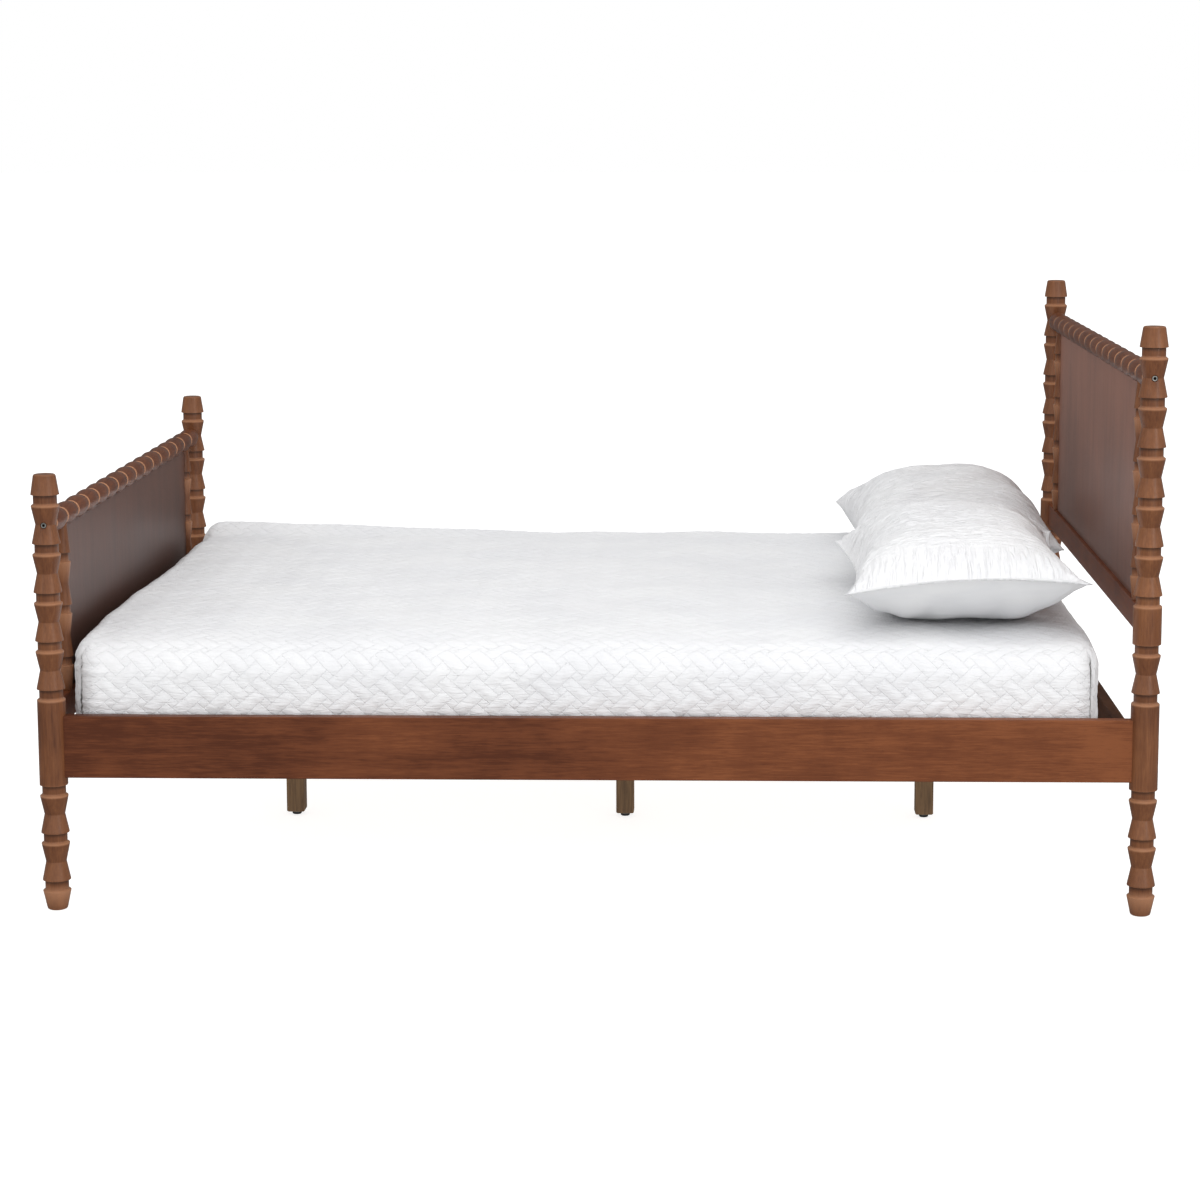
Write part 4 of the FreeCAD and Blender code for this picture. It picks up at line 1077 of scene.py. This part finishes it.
def stuffed(mesh, held):
    """Cloth simulation: the form fills with stuffing while its seam is held."""
    start = points_of(mesh)
    tool = linked("tool", mesh.copy())
    seam = tool.vertex_groups.new(name="seam")
    seam.add([int(index) for index in np.flatnonzero(held)], 1.0, "REPLACE")
    cloth = tool.modifiers.new("cloth", "CLOTH")
    settings = cloth.settings
    settings.quality = 5
    settings.mass = 0.3
    settings.use_pressure = True
    settings.uniform_pressure_force = STUFFING_PRESSURE
    settings.vertex_group_mass = "seam"
    settings.effector_weights.gravity = 0.0
    settings.tension_stiffness = 12.0
    settings.compression_stiffness = 12.0
    settings.shear_stiffness = 4.0
    settings.bending_stiffness = 0.35
    cloth.collision_settings.use_collision = False
    cloth.collision_settings.use_self_collision = False
    scene = bpy.context.scene
    for step in range(STUFFING_STEPS):
        scene.frame_set(step + 1)
    moved = modified(tool)
    shift = points_of(moved) - start
    size = np.linalg.norm(shift, axis=1)
    shift = shift * np.minimum(1.0, STUFFING_MOST / np.maximum(size, 1e-9))[:, None]
    bpy.data.meshes.remove(moved)
    scene.frame_set(1)
    move_to(mesh, start + shift)


def refined(mesh):
    """One subdivision of a cloth mesh, its flat places and map kept."""
    tool = linked("tool", mesh)
    finer = tool.modifiers.new("finer", "SUBSURF")
    finer.levels = finer.render_levels = 1
    return modified(tool)


def dome(p, q, power_p, power_q, round_p, round_q=0.62):
    """1 in the middle and 0 at the edges of a square from -1 to 1."""
    return (1 - np.abs(p) ** power_p) ** round_p * (1 - np.abs(q) ** power_q) ** round_q


def from_crown(values, crown):
    """Distance from a crown's place, stretched so that it is 1 at either edge."""
    span = np.where(values > crown, 1 - crown, 1 + crown)
    return np.clip((values - crown) / span, -1, 1)


def pillow_form(facts, low, high, cells):
    """Two layers of cloth drawn in between the corners, and domed over and under their seam."""
    middle = (low + high) / 2
    half_x, half_y = (high.x - low.x) / 2, (high.y - low.y) / 2
    mesh = fabric(cells, PILLOW_STEP, (1.0, -1.0))
    p = note(mesh, "flat_x") / (cells[0] * PILLOW_STEP / 2)
    q = note(mesh, "flat_y") / (cells[1] * PILLOW_STEP / 2)
    foot_waist, head_waist, end_waist = facts["waist"]
    waist_x = np.where(p < 0, foot_waist, head_waist) * (1 - q * q)
    inset_near, inset_far = facts["inset"]
    inset = inset_near + (inset_far - inset_near) * (q + 1) / 2
    x = p * half_x - np.sign(p) * np.abs(p) ** 1.5 * waist_x + inset * (1 - p) / 2
    y = q * half_y - np.sign(q) * np.abs(q) ** 1.5 * end_waist * (1 - p * p)
    seam_foot, seam_head, seam_arch = facts["seam"]
    seam = seam_foot + (seam_head - seam_foot) * (p + 1) / 2
    seam = seam + seam_arch * (1 - p * p) * q * q - SEAM_SAG * (1 - q * q) * p * p
    inner_p = np.clip(p / (1 - PILLOW_STEP / half_x), -1, 1)
    inner_q = np.clip(q / (1 - PILLOW_STEP / half_y), -1, 1)
    # the crown of the upper face is fuller towards the foot of the bed
    crown_p, crown_q, crown = facts["crown"]
    off_p, off_q = from_crown(inner_p, crown_p), from_crown(inner_q, crown_q)
    towards_foot = dome(off_p, off_q, 3.0, 2.6, 0.50)
    towards_head = dome(off_p, off_q, 3.4, 2.6, facts["head_full"])
    over = seam + (crown - seam) * np.where(off_p < 0, towards_foot, towards_head)
    under = seam * (1 - np.minimum(dome(inner_p, inner_q, 4.5, 2.3, 0.55) * 1.12, 1.0))
    lip = SEAM_LIP * (np.abs(p) < 0.999) * (np.abs(q) < 0.999)
    z = np.where(note(mesh, "layer") > 0, over + lip, under - lip)
    move_to(mesh, np.stack((x + middle.x, y + middle.y, z + low.z), axis=1))
    return sewn(mesh)


def crease(mesh, facts, low, high, cells):
    """Ripples, puckers and piping of the upper face and folds of the lower one."""
    half_x, half_y = (high.x - low.x) / 2, (high.y - low.y) / 2
    places, normals = points_of(mesh), points_of(mesh, "normal")
    flat_x, flat_y = note(mesh, "flat_x"), note(mesh, "flat_y")
    upper = note(mesh, "layer") > 0
    side_gap = (1 - np.abs(flat_x / (cells[0] * PILLOW_STEP / 2))) * half_x
    end_gap = (1 - np.abs(flat_y / (cells[1] * PILLOW_STEP / 2))) * half_y
    edge = np.minimum(side_gap, end_gap)
    inside = eased(edge, 0.004, 0.030)
    gather = band(end_gap, *END_GATHER)
    flat, seed = (flat_x, flat_y), facts["seed"]
    ripple = waves(*flat, seed, *RIPPLE) * inside
    pucker = waves(*flat, seed + 1, facts["pucker"], *PUCKER) * gather
    crimp = waves(*flat, seed + 2, *CRIMP) * band(side_gap, *SIDE_GATHER)
    broad = waves(*flat, seed + 3, *BROAD) * inside
    folds = waves(*flat, seed + 4, *FOLDS) * eased(edge, 0.01, 0.06)
    piping = PIPING * band(edge, *PIPING_BAND)
    swell = np.where(upper, ripple * (1 - gather) + pucker + crimp + broad + piping, folds)
    paint = mesh.attributes.new("gather", "FLOAT", "POINT")
    share = gather * min(1.0, facts["pucker"] / FULL_PUCKER)
    paint.data.foreach_set("value", share.astype(np.float32))
    places = places + normals * swell[:, None]
    least = (low.x - PILLOW_SIDE, low.y - PILLOW_SIDE, low.z + PILLOW_REST)
    most = (high.x + PILLOW_SIDE, high.y + PILLOW_SIDE, high.z + PILLOW_OVER)
    move_to(mesh, np.clip(places, least, most))
    on_top = upper | (edge < 1e-6)
    for face in mesh.polygons:
        face.material_index = 0 if all(on_top[point] for point in face.vertices) else 1


def make_pillow(name, facts, quilt, cotton):
    low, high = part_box(name)
    cells = tuple(round((high[axis] - low[axis]) / PILLOW_STEP) for axis in (0, 1))
    mesh = pillow_form(facts, low, high, cells)
    shares = [np.abs(note(mesh, flat)) / count for flat, count in zip(("flat_x", "flat_y"), cells)]
    stuffed(mesh, np.maximum(*shares) > PILLOW_STEP / 2 * 0.999)
    mesh = refined(mesh)
    crease(mesh, facts, low, high, cells)
    mesh.shade_smooth()
    materials = [quilt, cotton]
    piece = finished(name + "_sham", mesh, materials, name + "_body", [name])


# ---- studio
# place, target, width, height and power
SOFTBOXES = {
    "softbox_overhead": ((0.4, -2.3, 3.6), (0.1, 0.0, 0.4), 5.0, 2.6, 53.0),
    "softbox_front": ((0.5, -5.6, 0.7), (0.3, 0.0, 0.6), 6.0, 1.2, 16.0),
    "softbox_right": ((3.4, -4.2, 1.8), (0.6, -0.4, 0.6), 0.6, 2.8, 30.0),
    "softbox_left": ((-3.8, -4.6, 1.8), (-0.6, -0.4, 0.6), 0.5, 2.4, 10.0),
}
SKY_FADES = {"Z": (0.95, 1.02), "X": (0.90, 1.06), "Y": (0.86, 0.84)}
SKY_RANGE = (-0.7, 0.8)
GLOSSY_SKY = 0.28
FLOOR_GREY = (0.55, 0.55, 0.55)
FLOOR_GLOW = 0.80


def make_floor():
    shape = bmesh.new()
    bmesh.ops.create_grid(shape, x_segments=2, y_segments=2, size=80.0)
    floor = linked("floor", poured(shape, "floor"))
    glow = {"Emission_Color": (1.0, 1.0, 1.0), "Emission_Strength": FLOOR_GLOW}
    white = Finish("floor_paint", 0.9, 0.1).set(Base_Color=FLOOR_GREY, **glow)
    floor.data.materials.append(white)
    floor.visible_diffuse = False
    floor.visible_glossy = False


def make_sky():
    """White surround, dimmed for reflections, a little brighter on the right and above."""
    world = bpy.data.worlds.new("studio")
    world.use_nodes = True
    sky = Graph(world.node_tree)
    spot = sky.node("ShaderNodeTexCoord", output="Generated")
    glossy = sky.node("ShaderNodeLightPath", output="Is Glossy Ray")
    glow = sky.node("ShaderNodeMapRange", None, {0: glossy, 3: 1.0, 4: GLOSSY_SKY})
    for axis, (low, high) in SKY_FADES.items():
        part = sky.node("ShaderNodeSeparateXYZ", None, {0: spot}, axis)
        fade = {0: part, 1: SKY_RANGE[0], 2: SKY_RANGE[1], 3: low, 4: high}
        glow = glow * sky.node("ShaderNodeMapRange", None, fade)
    white = glow.most(sky.node("ShaderNodeLightPath", output="Is Camera Ray"))
    background = world.node_tree.nodes["Background"]
    sky.feed(background.inputs["Strength"], white)
    sky.feed(background.inputs["Color"], (1.0, 1.0, 1.0))
    bpy.context.scene.world = world


def make_studio():
    make_floor()
    make_sky()
    for name, (place, target, width, height, power) in SOFTBOXES.items():
        light = bpy.data.lights.new(name, "AREA")
        light.shape = "RECTANGLE"
        light.size = width
        light.size_y = height
        light.energy = power
        lamp = linked(name, light)
        aim = (Vector(target) - Vector(place)).to_track_quat("-Z", "Y")
        lamp.matrix_world = Matrix.Translation(place) @ aim.to_matrix().to_4x4()
    bpy.context.scene.view_settings.view_transform = "Standard"


# ---- CAD nodes that keep their shape
def paint_nodes(finishes):
    """Gives each CAD node the first finish that one of its words names."""
    for node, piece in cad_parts.items():
        for words, material in finishes:
            if any(word in node for word in words):
                piece.data.materials.clear()
                piece.data.materials.append(material)
                break


def main():
    make_camera()
    make_studio()
    upright_wood = stained_wood("stained_upright", "Z", (1.08, 1.06, 1.0), 0.33, 0.38, True)
    rail_wood = stained_wood("stained_rail", "Y", (0.86, 0.72, 0.68), 0.32, 0.36, True)
    long_wood = stained_wood("stained_long", "X", (1.02, 0.83, 0.76), 0.42, 0.18)
    board_wood = stained_wood("stained_board", "Y", (1.04, 0.80, 0.68), 0.46, 0.18)
    # the cross rail's wood is a darker copy, painted shade for where it stands in shadow
    cross_wood_painted_shade = stained_wood("stained_cross_painted_shade", "Y", 0.42, 0.60, 0.08)
    leg_wood = plain_timber("brown_rail_stock", LEG_STOCK, "Z")
    beam_wood = plain_timber("brown_beam_stock", BEAM_STOCK, "X")
    pine = plain_timber("slat_timber", SLAT_STOCK, "Y")
    steel = plated_steel("plated_steel")
    socket_steel = plated_steel("socket_head_steel", True)
    nylon = moulded_nylon("black_nylon")
    # lit and shaded copies of one veneer: the head panel's is painted lighter, the foot panel's
    # darker as painted shade
    head_panel_painted_light = veneer("stained_veneer_head_painted_light", 1.85, 0.86, 0.7)
    foot_panel_painted_shade = veneer("stained_veneer_foot_painted_shade", 0.82, 0.66, 1.3)
    quilt = quilted_cotton("quilted_cotton")
    shams = {
        "pillow_right": rippled_cotton("rippled_cotton_right", 1.0),
        # the far sham is a slightly darker copy, painted shade where the near pillow shades it
        "pillow_left": rippled_cotton("rippled_cotton_left_painted_shade", 0.965),
    }
    cotton = plain_cotton("plain_cotton")
    paint_nodes([
        (("headboard_panel",), head_panel_painted_light),
        (("footboard_panel",), foot_panel_painted_shade),
        (("side_rail_left", "side_rail_right"), long_wood),
        (("lower_board",), board_wood),
        (("cross_rail",), cross_wood_painted_shade),
        (("centre_leg",), leg_wood),
        (("centre_beam", "cleat_left", "cleat_right"), beam_wood),
        (("slat_0", "slat_1", "dowel"), pine),
        (("top_rail_bolts",), socket_steel),
        (("bolt", "nut", "screw", "bracket", "socket"), steel),
        (("glide",), nylon),
        (("mattress", "pillow"), quilt),
    ])
    make_posts(upright_wood)
    make_top_rails(rail_wood)
    make_spindles(upright_wood)
    make_mattress(quilt, cotton)
    for name, facts in PILLOWS.items():
        make_pillow(name, facts, shams[name], cotton)


main()
